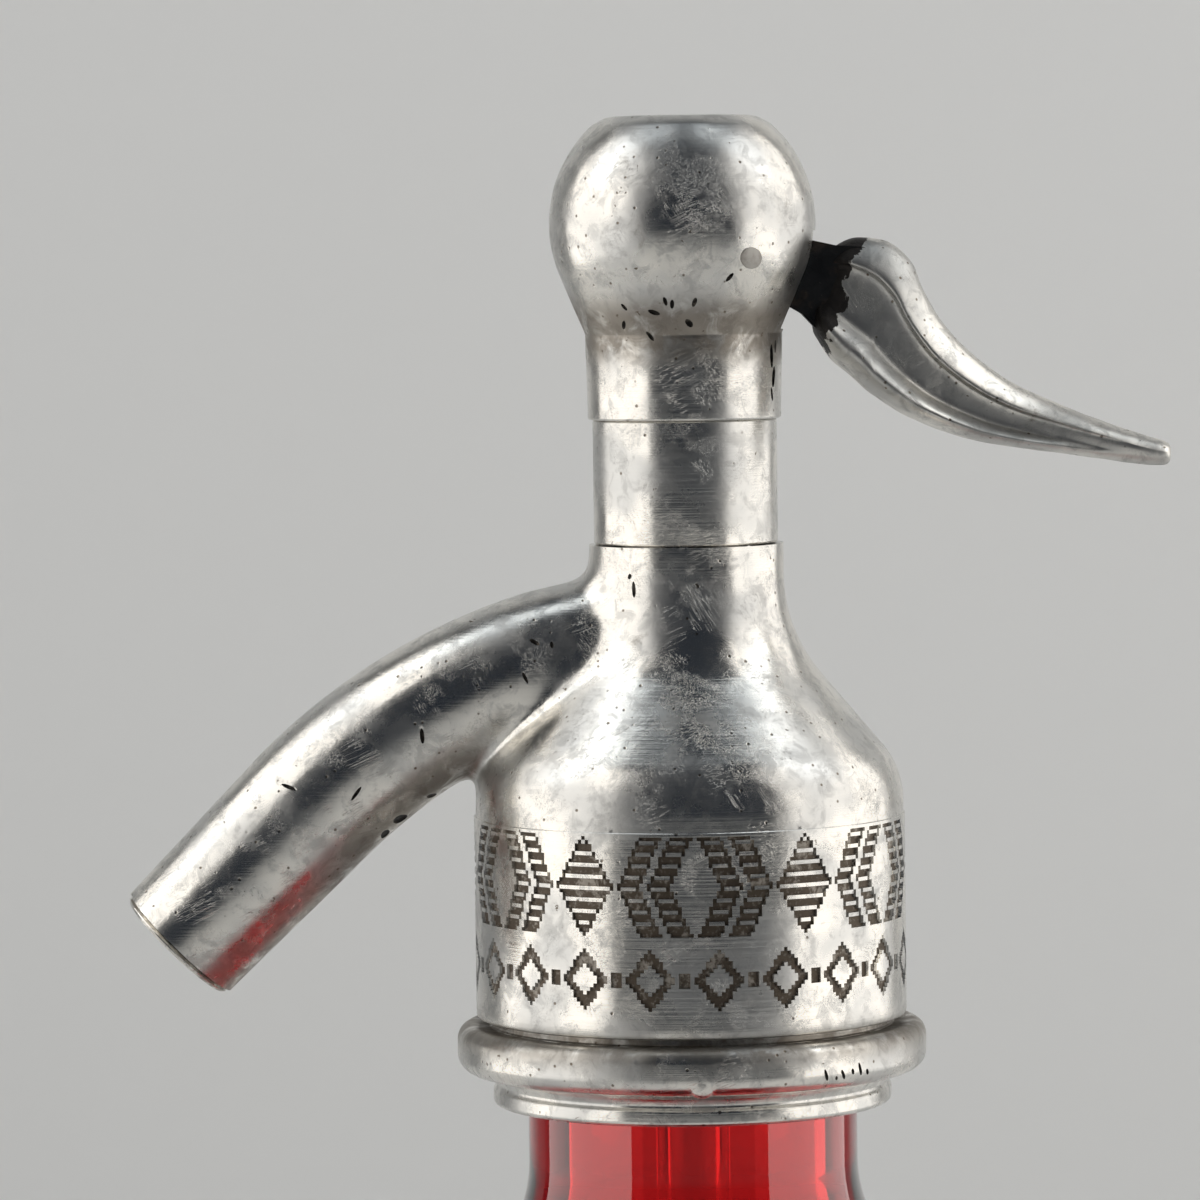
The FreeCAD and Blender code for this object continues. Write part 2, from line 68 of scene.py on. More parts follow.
class Body(Enum):
    """Rigid bodies that a piece can ride on."""

    SIPHON = "siphon"
    SPINDLE = "spindle"
    LEVER = "lever"


class Joining(Enum):
    """What a tool does to the piece it meets."""

    CUT = "DIFFERENCE"
    JOIN = "UNION"


class Unevenness(Enum):
    """Patterns of an uneven cast surface."""

    DENTS = "ORIGINAL_PERLIN"
    LUMPS = "BLENDER_ORIGINAL"


# ---- the modelling bench


@cache
def levels(node: str) -> tuple[float, float]:
    """Lowest and highest level of a solid, in millimetres."""
    low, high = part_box(node)
    return low[2] / MM, high[2] / MM


def bottom_of(node: str) -> float:
    """Lowest level of a solid, in millimetres."""
    return levels(node)[0]


def top_of(node: str) -> float:
    """Highest level of a solid, in millimetres."""
    return levels(node)[1]


def clear() -> None:
    """Leaves edit mode and selects nothing."""
    if bpy.context.object and bpy.context.object.mode != "OBJECT":
        bpy.ops.object.mode_set(mode="OBJECT")
    bpy.ops.object.select_all(action="DESELECT")


def hold(piece: Piece) -> None:
    """Makes one piece the only selected and active one.

    Args:
        piece: piece to work on.
    """
    clear()
    piece.select_set(True)
    bpy.context.view_layer.objects.active = piece


def edit(select: str = "VERT") -> None:
    """Goes into edit mode, picking by VERT or FACE."""
    bpy.ops.object.mode_set(mode="EDIT")
    bpy.ops.mesh.select_mode(type=select)


def settle(name: str) -> Piece:
    """Names the piece in hand and moves its place into its mesh.

    Args:
        name: name of the finished piece.

    Returns:
        The piece.
    """
    bpy.ops.object.mode_set(mode="OBJECT")
    piece = bpy.context.object
    piece.name = name
    piece.data.name = name
    bpy.ops.object.transform_apply(location=True, rotation=True, scale=True)
    return piece


def pick_all() -> None:
    """Selects the whole mesh in edit mode."""
    bpy.ops.mesh.select_all(action="SELECT")


def close_up(name: str, gap: float = 0.0) -> Piece:
    """Closes the seams of a mesh, turns its faces outwards and settles it.

    Args:
        name: name of the finished piece.
        gap: doubles closer than this are merged, in millimetres.

    Returns:
        The piece.
    """
    pick_all()
    if gap > 0:
        bpy.ops.mesh.remove_doubles(threshold=gap * MM)
    bpy.ops.mesh.normals_make_consistent(inside=False)
    return settle(name)


def eased(corners: Sequence[Corner], closed: bool = True, arc_step: float = 9.0) -> list[Point]:
    """Outline with round corners.

    Args:
        corners: (radius, height) or (radius, height, fillet) in millimetres.
        closed: True if the last corner meets the first.
        arc_step: most degrees between two points of a fillet.

    Returns:
        The points of the outline.
    """
    points: list[Point] = []
    count = len(corners)
    for i, corner in enumerate(corners):
        here = Vector(corner[:2])
        at_end = not closed and i in (0, count - 1)
        if len(corner) < 3 or corner[2] <= 0 or at_end:
            points.append(tuple(here))
            continue
        back = Vector(corners[i - 1][:2]) - here
        ahead = Vector(corners[(i + 1) % count][:2]) - here
        half = back.angle(ahead) / 2
        reach = min(corner[2] / math.tan(half), 0.49 * min(back.length, ahead.length))
        radius = reach * math.tan(half)
        back.normalize()
        ahead.normalize()
        centre = here + (back + ahead).normalized() * (radius / math.sin(half))
        start = here + back * reach - centre
        turn = -start.angle_signed(here + ahead * reach - centre)
        steps = max(2, math.ceil(math.degrees(abs(turn)) / arc_step))
        for k in range(steps + 1):
            angle = turn * k / steps
            x = start.x * math.cos(angle) - start.y * math.sin(angle)
            y = start.x * math.sin(angle) + start.y * math.cos(angle)
            points.append((centre.x + x, centre.y + y))
    return points


def ladder(start: Point, end: Point, rungs: int) -> list[Point]:
    """Evenly spaced points along a line, without its end.

    Args:
        start: first point.
        end: point that is left out.
        rungs: how many steps the line has.

    Returns:
        The points.
    """
    return [
        (start[0] + (end[0] - start[0]) * i / rungs, start[1] + (end[1] - start[1]) * i / rungs)
        for i in range(rungs)
    ]


def turn_on_lathe(name: str, outline: Sequence[Point], steps: int = 192,
                  closed: bool = True) -> Piece:
    """Draws an outline point by point and spins it about the Z axis.

    Args:
        name: name of the piece.
        outline: (radius, height) points in millimetres.
        steps: faces round the axis.
        closed: True if the last point is joined to the first.

    Returns:
        The turned piece.
    """
    clear()
    bpy.ops.mesh.primitive_plane_add(size=MM)
    edit()
    bpy.ops.mesh.merge(type="CENTER")
    radius, height = outline[0]
    bpy.ops.transform.translate(value=(radius * MM, 0, height * MM))
    for x, z in list(outline[1:]) + ([outline[0]] if closed else []):
        step = ((x - radius) * MM, 0, (z - height) * MM)
        bpy.ops.mesh.extrude_region_move(TRANSFORM_OT_translate={"value": step})
        radius, height = x, z
    pick_all()
    bpy.ops.mesh.spin(steps=steps, angle=math.tau, center=(0, 0, 0), axis=(0, 0, 1))
    return close_up(name, 0.002)


def apply_modifier(piece: Piece, kind: str, **settings: object) -> None:
    """Adds one modifier with its settings and applies it.

    Args:
        piece: piece that is changed.
        kind: type of modifier.
        settings: its properties by name.
    """
    hold(piece)
    modifier = piece.modifiers.new(kind.lower(), kind)
    for key, value in settings.items():
        setattr(modifier, key, value)
    bpy.ops.object.modifier_apply(modifier=modifier.name)


def combine(piece: Piece, tool: Piece, joining: Joining = Joining.CUT, exact: bool = False) -> None:
    """Cuts a piece with a tool, or joins them, and throws the tool away.

    Args:
        piece: piece that is worked on.
        tool: closed piece that is used up.
        joining: what the tool does.
        exact: True where the tool has walls in line with the piece's.
    """
    apply_modifier(piece, "BOOLEAN", operation=joining.value, object=tool,
                   solver="EXACT" if exact else "MANIFOLD")
    bpy.data.objects.remove(tool)


def soften(piece: Piece, depth: float, grain: float, group: str = "",
           pattern: Unevenness = Unevenness.DENTS) -> None:
    """Presses a slight cast unevenness into a piece.

    Args:
        piece: piece with a dense mesh.
        depth: how deep the hollows go, in millimetres.
        grain: width of a hollow, in millimetres.
        group: vertex group that limits it.
        pattern: how the hollows lie.
    """
    cloud = bpy.data.textures.new(piece.name + "_unevenness", "CLOUDS")
    cloud.noise_scale = grain * MM
    cloud.noise_depth = 2
    cloud.noise_basis = pattern.value
    apply_modifier(
        piece, "DISPLACE", texture=cloud, texture_coords="LOCAL", vertex_group=group,
        strength=-depth * MM, mid_level=0.0)


def group_by(piece: Piece, name: str, weigh: Callable[[Vector], float]) -> None:
    """Gives each vertex a weight by its place.

    Args:
        piece: piece that gets the group.
        name: name of the group.
        weigh: weight from 0 to 1 for a place in millimetres.
    """
    group = piece.vertex_groups.new(name=name)
    for vertex in piece.data.vertices:
        weight = weigh(vertex.co / MM)
        if weight > 0:
            group.add([vertex.index], weight, "REPLACE")


def smooth(piece: Piece, angle: float = 32.0) -> None:
    """Shades a piece smooth except over its sharp edges."""
    hold(piece)
    bpy.ops.object.shade_smooth_by_angle(angle=math.radians(angle))


def dress(piece: Piece, body: Body, materials: Sequence[Material],
          replaces: Sequence[str] = ()) -> Piece:
    """Gives a finished piece its materials, its body and the solids it stands for.

    Args:
        piece: finished piece.
        body: body that it rides on.
        materials: one material for each slot of the mesh.
        replaces: solids that it stands for.

    Returns:
        The piece.
    """
    while len(piece.data.materials) < len(materials):
        piece.data.materials.append(None)
    for i, material in enumerate(materials):
        piece.data.materials[i] = material
    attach(piece, body.value)
    if replaces:
        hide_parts(*replaces)
    log.info("%s: %d faces on %s", piece.name, len(piece.data.polygons), body.value)
    return piece


def cylinder(name: str, radius: float, length: float, place: Sequence[float],
             turn: Sequence[float]) -> Piece:
    """Round cutting tool.

    Args:
        name: name of the tool.
        radius: in millimetres.
        length: in millimetres.
        place: its middle, in metres.
        turn: its rotation, in radians.

    Returns:
        The tool.
    """
    clear()
    bpy.ops.mesh.primitive_cylinder_add(
        vertices=48, radius=radius * MM, depth=length * MM, location=place, rotation=turn)
    return settle(name)


@dataclass(frozen=True)
class Gouge:
    """Mark cut into a surface: its place, the way out of the metal, its size and its lean."""

    place: Vector
    outward: Vector
    width: float = 0.5
    length: float = 1.6
    depth: float = 0.25
    lean: float = 0.0

    @classmethod
    def turned(cls, azimuth: float, level: float, radius: float, **sizes: float) -> "Gouge":
        """Gouge in a turned surface.

        Args:
            azimuth: degrees from the front, towards the lever.
            level: height above the table.
            radius: distance from the axis.
            sizes: width, length, depth and lean.

        Returns:
            The gouge.
        """
        angle = math.radians(azimuth - 90)
        outward = Vector((math.cos(angle), math.sin(angle), 0))
        return cls(outward * radius + Vector((0, 0, level)), outward, **sizes)

    def carve(self, piece: Piece, dark: Material) -> None:
        """Cuts the gouge, whose floor gets the dark material.

        Args:
            piece: piece that is marked.
            dark: material of the gouge.
        """
        clear()
        bpy.ops.mesh.primitive_ico_sphere_add(subdivisions=2, radius=1)
        bpy.ops.transform.resize(
            value=(self.depth * MM, self.width / 2 * MM, self.length / 2 * MM))
        bpy.ops.object.transform_apply(location=False, rotation=False, scale=True)
        tool = bpy.context.object
        facing = self.outward.to_track_quat("X", "Z")
        facing.rotate(Quaternion(self.outward, math.radians(self.lean)))
        tool.rotation_euler = facing.to_euler()
        tool.location = self.place * MM
        bpy.ops.object.transform_apply(location=True, rotation=True, scale=True)
        tool.data.materials.append(dark)
        apply_modifier(piece, "BOOLEAN", operation="DIFFERENCE", object=tool, solver="EXACT",
                       material_mode="TRANSFER")
        bpy.data.objects.remove(tool)


# ---- finishes


class Recipe:
    """A material's node tree while it is being written."""

    def __init__(self, name: str) -> None:
        """Starts with one Principled shader on the output.

        Args:
            name: name of the material.
        """
        self.material = bpy.data.materials.new(name)
        self.material.use_nodes = True
        self.tree = self.material.node_tree
        self.shader = self.tree.nodes["Principled BSDF"]
        self.output = self.tree.nodes["Material Output"]
        self.coordinates = self.node("ShaderNodeTexCoord").outputs["Object"]

    def node(self, kind: str, **settings: object) -> bpy.types.Node:
        """Adds a node.

        Args:
            kind: class name of the node.
            settings: its properties by name.

        Returns:
            The node.
        """
        made = self.tree.nodes.new(kind)
        for key, value in settings.items():
            setattr(made, key, value)
        return made

    def feed(self, socket: Socket, value: object) -> None:
        """Links a socket to an output, or sets it to a number or colour.

        Args:
            socket: input of a node.
            value: output, number or colour.
        """
        if isinstance(value, Socket):
            self.tree.links.new(value, socket)
        elif isinstance(value, tuple) and len(value) == 3 and socket.type == "RGBA":
            socket.default_value = (*value, 1.0)
        else:
            socket.default_value = value

    def placed(self, scale: Sequence[float], turn: Sequence[float] = (0, 0, 0)) -> Socket:
        """Object coordinates, turned in degrees and then stretched.

        Args:
            scale: stretch along X, Y and Z; larger is finer.
            turn: degrees about X, Y and Z.

        Returns:
            The coordinates.
        """
        spin = self.node("ShaderNodeMapping", vector_type="POINT")
        self.feed(spin.inputs["Vector"], self.coordinates)
        spin.inputs["Rotation"].default_value = [math.radians(a) for a in turn]
        stretch = self.node("ShaderNodeMapping", vector_type="POINT")
        self.feed(stretch.inputs["Vector"], spin.outputs[0])
        stretch.inputs["Scale"].default_value = scale
        return stretch.outputs[0]

    def noise(self, size: float, detail: float = 4.0, roughness: float = 0.55,
              distortion: float = 0.0, vector: Socket | None = None) -> Socket:
        """Noise of soft blotches.

        Args:
            size: width of a blotch, in millimetres.
            detail: octaves of finer noise.
            roughness: how strong the finer noise is.
            distortion: how far the blotches are drawn out of shape.
            vector: coordinates, or None for the object's own.

        Returns:
            The noise, from 0 to 1.
        """
        made = self.node("ShaderNodeTexNoise")
        self.feed(made.inputs["Vector"], vector or self.coordinates)
        made.inputs["Scale"].default_value = 1 / (size * MM)
        made.inputs["Detail"].default_value = detail
        made.inputs["Roughness"].default_value = roughness
        made.inputs["Distortion"].default_value = distortion
        return made.outputs["Fac"]

    def cells(self, size: float, vector: Socket | None = None) -> bpy.types.Node:
        """Cell pattern.

        Args:
            size: width of a cell, in millimetres.
            vector: coordinates, or None for the object's own.

        Returns:
            The node, with its distances and colours.
        """
        made = self.node("ShaderNodeTexVoronoi")
        self.feed(made.inputs["Vector"], vector or self.coordinates)
        made.inputs["Scale"].default_value = 1 / (size * MM)
        return made

    def spread(self, value: Socket, low: float, high: float,
               start: float = 0.0, end: float = 1.0) -> Socket:
        """Value drawn out to another range, with soft ends.

        Args:
            value: what is drawn out.
            low: value that becomes start.
            high: value that becomes end.
            start: result at low.
            end: result at high.

        Returns:
            The result.
        """
        made = self.node("ShaderNodeMapRange", interpolation_type="SMOOTHSTEP")
        self.feed(made.inputs["Value"], value)
        limits = {"From Min": low, "From Max": high, "To Min": start, "To Max": end}
        for key, number in limits.items():
            made.inputs[key].default_value = number
        return made.outputs["Result"]

    def maths(self, operation: str, *numbers: object) -> Socket:
        """Arithmetic on numbers or sockets.

        Args:
            operation: kind of arithmetic.
            numbers: numbers or sockets.

        Returns:
            The result.
        """
        made = self.node("ShaderNodeMath", operation=operation)
        for socket, number in zip(made.inputs, numbers):
            self.feed(socket, number)
        return made.outputs[0]

    def plus(self, first: object, second: object) -> Socket:
        """Sum of two numbers or sockets."""
        return self.maths("ADD", first, second)

    def less(self, first: object, second: object) -> Socket:
        """Difference of two numbers or sockets."""
        return self.maths("SUBTRACT", first, second)

    def times(self, first: object, second: object) -> Socket:
        """Product of two numbers or sockets."""
        return self.maths("MULTIPLY", first, second)

    def most(self, first: object, *others: object) -> Socket:
        """Greatest of several numbers or sockets.

        Args:
            first: number or socket.
            others: numbers or sockets to compare with it.

        Returns:
            The greatest.
        """
        for other in others:
            first = self.maths("MAXIMUM", first, other)
        return first

    def blend(self, factor: object, first: object, second: object) -> Socket:
        """Mixes two colours.

        Args:
            factor: share of the second colour.
            first: colour or socket.
            second: colour or socket.

        Returns:
            The mixed colour.
        """
        made = self.node("ShaderNodeMix", data_type="RGBA")
        self.feed(made.inputs["Factor"], factor)
        self.feed(made.inputs[6], first)
        self.feed(made.inputs[7], second)
        return made.outputs[2]

    def height(self) -> Socket:
        """Level above the table.

        Returns:
            The level, in metres.
        """
        made = self.node("ShaderNodeSeparateXYZ")
        self.feed(made.inputs[0], self.coordinates)
        return made.outputs["Z"]

    def bump(self, height: Socket, distance: float, strength: float = 1.0,
             normal: Socket | None = None) -> Socket:
        """Relief on the surface.

        Args:
            height: pattern from 0 to 1.
            distance: how high it stands, in millimetres.
            strength: share of the relief that shows.
            normal: relief that lies beneath it.

        Returns:
            The normal.
        """
        made = self.node("ShaderNodeBump")
        self.feed(made.inputs["Height"], height)
        made.inputs["Distance"].default_value = distance * MM
        made.inputs["Strength"].default_value = strength
        if normal:
            self.feed(made.inputs["Normal"], normal)
        return made.outputs[0]

    def set(self, **values: object) -> None:
        """Feeds the shader's sockets; underscores in the names stand for spaces."""
        for key, value in values.items():
            self.feed(self.shader.inputs[key.replace("_", " ")], value)


@dataclass(frozen=True)
class Pewter:
    """Cast tin alloy, polished by handling, with pits, scratches and brown tarnish, plus painted
    light: a dark belt of painted shade and painted reflection, and painted shade on downward-facing
    surfaces.
    """

    name: str
    bright: Colour = (0.84, 0.81, 0.75)
    dull: Colour = (0.60, 0.595, 0.575)
    worn: Colour = (0.43, 0.425, 0.41)
    # Dark brown of tarnish, pits and scratches; the same tone also paints shade and reflection in
    # the dark belt and on downward-facing surfaces.
    tarnish: Colour = (0.15, 0.12, 0.088)
    roughness: float = 0.15
    tarnish_share: float = 0.5
    pit_share: float = 0.5
    turned_marks: float = 0.5
    # Levels of a dark belt painted into the colour: painted shade in the groove between band and
    # ring nut, and tarnish with a painted reflection on the ball's lower half.
    tarnish_and_painted_light_belt: tuple[float, float] | None = None
    # Strength of brown patches on downward-facing surfaces: tarnish and painted shade.
    downward_tarnish_and_shade: float = 0.0
    over_iron: str = ""
    iron: tuple[Colour, Colour] = ((0.012, 0.013, 0.015), (0.05, 0.042, 0.036))
    nick_turns: tuple[tuple[tuple[float, float, float], float], ...] = (
        ((24, 61, 12), 0.9), ((-38, 20, 75), 1.3), ((70, -35, 40), 1.0))

    def make(self) -> Material:
        """Writes the node tree.

        Returns:
            The material.
        """
        r = Recipe(self.name)
        mottle = r.spread(r.noise(9.0, 3, 0.5, 0.2), 0.36, 0.66)
        worn = r.spread(r.noise(2.1, 7, 0.68, 0.6), 0.47, 0.64)
        tarnish_and_painted_light, pit = self._tarnish_and_painted_light(r), self._pits(r)
        nicks = r.most(*(self._scratches(r, turn, size) for turn, size in self.nick_turns))
        colour = r.blend(mottle, self.bright, self.dull)
        # Wear, tarnish with painted shade and painted reflection, scratches and pits darken the
        # colour in turn.
        for share, strength, dirt in (
                (worn, 0.6, self.worn),
                (tarnish_and_painted_light, 0.75 * min(1.0, self.tarnish_share + 0.3), self.tarnish),
                (nicks, 0.3, self.tarnish), (pit, 0.9, self.tarnish)):
            colour = r.blend(r.times(share, strength), colour, dirt)
        rough = r.plus(r.spread(mottle, 0, 1, self.roughness, self.roughness + 0.13),
                       r.plus(r.times(tarnish_and_painted_light, 0.2), r.times(worn, 0.07)))
        rough = r.plus(rough, r.times(r.noise(0.35, 4, 0.7), 0.07))
        rings = r.spread(r.noise(1.0, 3, 0.6, 0.0, r.placed((0.035, 0.035, 4.5))), 0.36, 0.64)
        relief = r.bump(r.noise(2.6, 5, 0.55, 0.6), 0.05, 0.55)
        relief = r.bump(rings, 0.006, self.turned_marks, relief)
        relief = r.bump(r.most(pit, r.times(nicks, 0.5)), -0.028, 0.8, relief)
        metallic: object = 1.0
        if self.over_iron:
            iron = self._iron_mask(r)
            crust = r.noise(0.9, 6, 0.66, 0.4)
            colour = r.blend(iron, colour, r.blend(crust, *self.iron))
            rough = r.most(rough, r.times(iron, 0.5))
            metallic = r.spread(iron, 0, 1, 1.0, 0.7)
            relief = r.bump(r.less(1.0, iron), 0.3, 1.0, relief)
            relief = r.bump(r.times(iron, crust), 0.25, 0.8, relief)
        r.set(Base_Color=colour, Roughness=rough, Normal=relief, Metallic=metallic)
        return r.material

    def _tarnish_and_painted_light(self, r: Recipe) -> Socket:
        """Brown tarnish in loose patches, plus painted light: a dark belt of painted shade and
        painted reflection, and painted shade on downward-facing surfaces.

        Args:
            r: recipe that is being written.

        Returns:
            The share of tarnish, from 0 to 1.
        """
        tarnish_and_painted_light = r.spread(r.noise(3.4, 8, 0.7, 0.9), 0.68 - 0.09 * self.tarnish_share, 0.80)
        # Painted dark belt: painted shade in a groove between parts, and a painted reflection with
        # tarnish on the ball.
        if self.tarnish_and_painted_light_belt:
            low, high = (level * MM for level in self.tarnish_and_painted_light_belt)
            level = r.height()
            rise = r.spread(level, low - 2.5 * MM, low + 1.0 * MM)
            fall = r.spread(level, high - 2.0 * MM, high + 2.0 * MM, 1.0, 0.0)
            patch = r.spread(r.noise(3.0, 6, 0.6, 0.8), 0.22, 0.55)
            tarnish_and_painted_light = r.most(tarnish_and_painted_light, r.times(r.times(rise, fall), patch))
        # Painted shade with tarnish: brown patches on faces that point downwards.
        if self.downward_tarnish_and_shade > 0:
            facing = r.node("ShaderNodeSeparateXYZ")
            r.feed(facing.inputs[0], r.node("ShaderNodeTexCoord").outputs["Normal"])
            below = r.spread(facing.outputs["Z"], -0.2, -0.75, 0.0, self.downward_tarnish_and_shade)
            patch = r.spread(r.noise(3.6, 7, 0.66, 0.7), 0.34, 0.58)
            tarnish_and_painted_light = r.most(tarnish_and_painted_light, r.times(below, patch))
        return tarnish_and_painted_light

    def _pits(self, r: Recipe) -> Socket:
        """Small round pits that crowd in places, and a few ragged chips.

        Args:
            r: recipe that is being written.

        Returns:
            The share of pits and chips, from 0 to 1.
        """
        cells = r.cells(0.85)
        chance = r.node("ShaderNodeSeparateColor")
        r.feed(chance.inputs[0], cells.outputs["Color"])
        crowded = r.plus(chance.outputs[0], r.times(r.noise(5.5, 3, 0.6), 0.5))
        fewest = 1.20 - 0.14 * self.pit_share
        picked = r.spread(crowded, fewest, fewest + 0.04)
        speck = r.spread(cells.outputs["Distance"], 0.10, 0.26, 1.0, 0.0)
        rim = 0.735 - 0.03 * self.pit_share
        chips = r.spread(r.noise(1.25, 3, 0.62, 0.3), rim, rim + 0.03)
        return r.most(r.times(picked, speck), chips)

    def _iron_mask(self, r: Recipe) -> Socket:
        """One on bare iron and zero on pewter, with a ragged edge between them.

        Args:
            r: recipe that is being written.

        Returns:
            The share of bare iron, from 0 to 1.
        """
        past = r.node("ShaderNodeAttribute", attribute_name=self.over_iron).outputs["Fac"]
        ragged = r.times(r.less(r.noise(1.7, 4, 0.6, 0.5), 0.5), 3.4)
        return r.spread(r.plus(past, ragged), -0.07, 0.07, 1.0, 0.0)

    @staticmethod
    def _scratches(r: Recipe, turn: Sequence[float], size: float) -> Socket:
        """Fine lines along one direction, broken into short runs.

        Args:
            r: recipe that is being written.
            turn: degrees about X, Y and Z.
            size: how far apart they lie, in millimetres.

        Returns:
            The share of scratches, from 0 to 1.
        """
        line = r.noise(size, 2, 0.5, 0.25, r.placed((4.2, 0.11, 4.2), turn))
        thin = r.spread(r.maths("ABSOLUTE", r.less(line, 0.5)), 0.0, 0.012, 1.0, 0.0)
        run = r.spread(r.noise(4.6, 2, 0.5, 0.0, r.placed((1, 1, 1), turn)), 0.54, 0.66)
        return r.times(thin, run)


@dataclass(frozen=True)
class StruckGround:
    """Rough floor of struck or gouged pewter, dark with old dirt."""

    name: str
    dark: Colour = (0.115, 0.092, 0.07)
    pale: Colour = (0.44, 0.40, 0.35)

    def make(self) -> Material:
        """Writes the node tree.

        Returns:
            The material.
        """
        r = Recipe(self.name)
        grain = r.noise(0.5, 5, 0.65)
        patch = r.spread(r.noise(2.4, 4, 0.6, 0.5), 0.45, 0.72)
        rubbed = r.spread(r.plus(grain, r.times(patch, 0.28)), 0.52, 0.8)
        r.set(Base_Color=r.blend(rubbed, self.dark, self.pale), Metallic=0.85,
              Roughness=r.spread(grain, 0.3, 0.7, 0.42, 0.68), Normal=r.bump(grain, 0.06, 0.9))
        return r.material


@dataclass(frozen=True)
class BlackIron:
    """Forged iron, nearly black, scaled and greasy, with a few rubbed spots."""

    name: str
    dark: Colour = (0.02, 0.021, 0.023)
    rust: Colour = (0.075, 0.055, 0.042)

    def make(self) -> Material:
        """Writes the node tree.

        Returns:
            The material.
        """
        r = Recipe(self.name)
        scale = r.noise(1.9, 6, 0.62, 0.7)
        rusty = r.spread(r.noise(3.2, 5, 0.6), 0.5, 0.72)
        worn = r.spread(r.noise(0.8, 4, 0.6), 0.68, 0.78)
        colour = r.blend(worn, r.blend(rusty, self.dark, self.rust), (0.22, 0.21, 0.19))
        r.set(Base_Color=colour, Metallic=0.75, Roughness=r.spread(scale, 0.3, 0.7, 0.34, 0.66),
              Normal=r.bump(scale, 0.25, 0.85))
        return r.material


@dataclass(frozen=True)
class TurnedMetal:
    """Small turned metal part with cutter rings: brass or steel."""

    name: str
    bright: Colour
    dull: Colour
    roughness: float = 0.26

    def make(self) -> Material:
        """Writes the node tree.

        Returns:
            The material.
        """
        r = Recipe(self.name)
        patch = r.spread(r.noise(3.0, 5, 0.6, 0.5), 0.4, 0.66)
        rings = r.noise(1.0, 2, 0.5, 0.0, r.placed((0.05, 0.05, 6.0)))
        r.set(Base_Color=r.blend(patch, self.bright, self.dull), Metallic=1.0,
              Roughness=r.spread(patch, 0, 1, self.roughness, self.roughness + 0.2),
              Normal=r.bump(rings, 0.008, 0.6))
        return r.material


@dataclass(frozen=True)
class Packing:
    """Soft seal: dense rubber, or leather with its grain."""

    name: str
    base: Colour
    worn: Colour
    grain: float
    relief: float

    def make(self) -> Material:
        """Writes the node tree.

        Returns:
            The material.
        """
        r = Recipe(self.name)
        pores = r.cells(self.grain).outputs["Distance"]
        patch = r.spread(r.noise(2.5, 5, 0.6), 0.4, 0.7)
        r.set(Base_Color=r.blend(patch, self.base, self.worn),
              Roughness=r.spread(patch, 0, 1, 0.55, 0.78), Normal=r.bump(pores, self.relief, 0.8))
        return r.material


@dataclass(frozen=True)
class Glass:
    """Pressed glass, coloured through its thickness, with faint ripples and wear."""

    name: str
    tint: Colour
    absorbs: Colour
    density: float
    ripple: float = 0.05
    gloss: float = 0.0

    def make(self) -> Material:
        """Writes the node tree.

        Returns:
            The material.
        """
        r = Recipe(self.name)
        wave = r.noise(26.0, 2, 0.4, 0.2, r.placed((1, 1, 0.35)))
        rub = r.spread(r.noise(2.0, 8, 0.7, 0.6), 0.62, 0.75)
        r.set(Base_Color=self.tint, IOR=1.52, Transmission_Weight=1.0,
              Roughness=r.spread(rub, 0, 1, 0.0, 0.12), Normal=r.bump(wave, self.ripple, 0.5),
              Coat_Weight=self.gloss, Coat_IOR=1.8, Coat_Roughness=0.03)
        if self.density > 0:
            depth = r.node("ShaderNodeVolumeAbsorption")
            r.feed(depth.inputs["Color"], self.absorbs)
            depth.inputs["Density"].default_value = self.density
            r.feed(r.output.inputs["Volume"], depth.outputs[0])
        return r.material


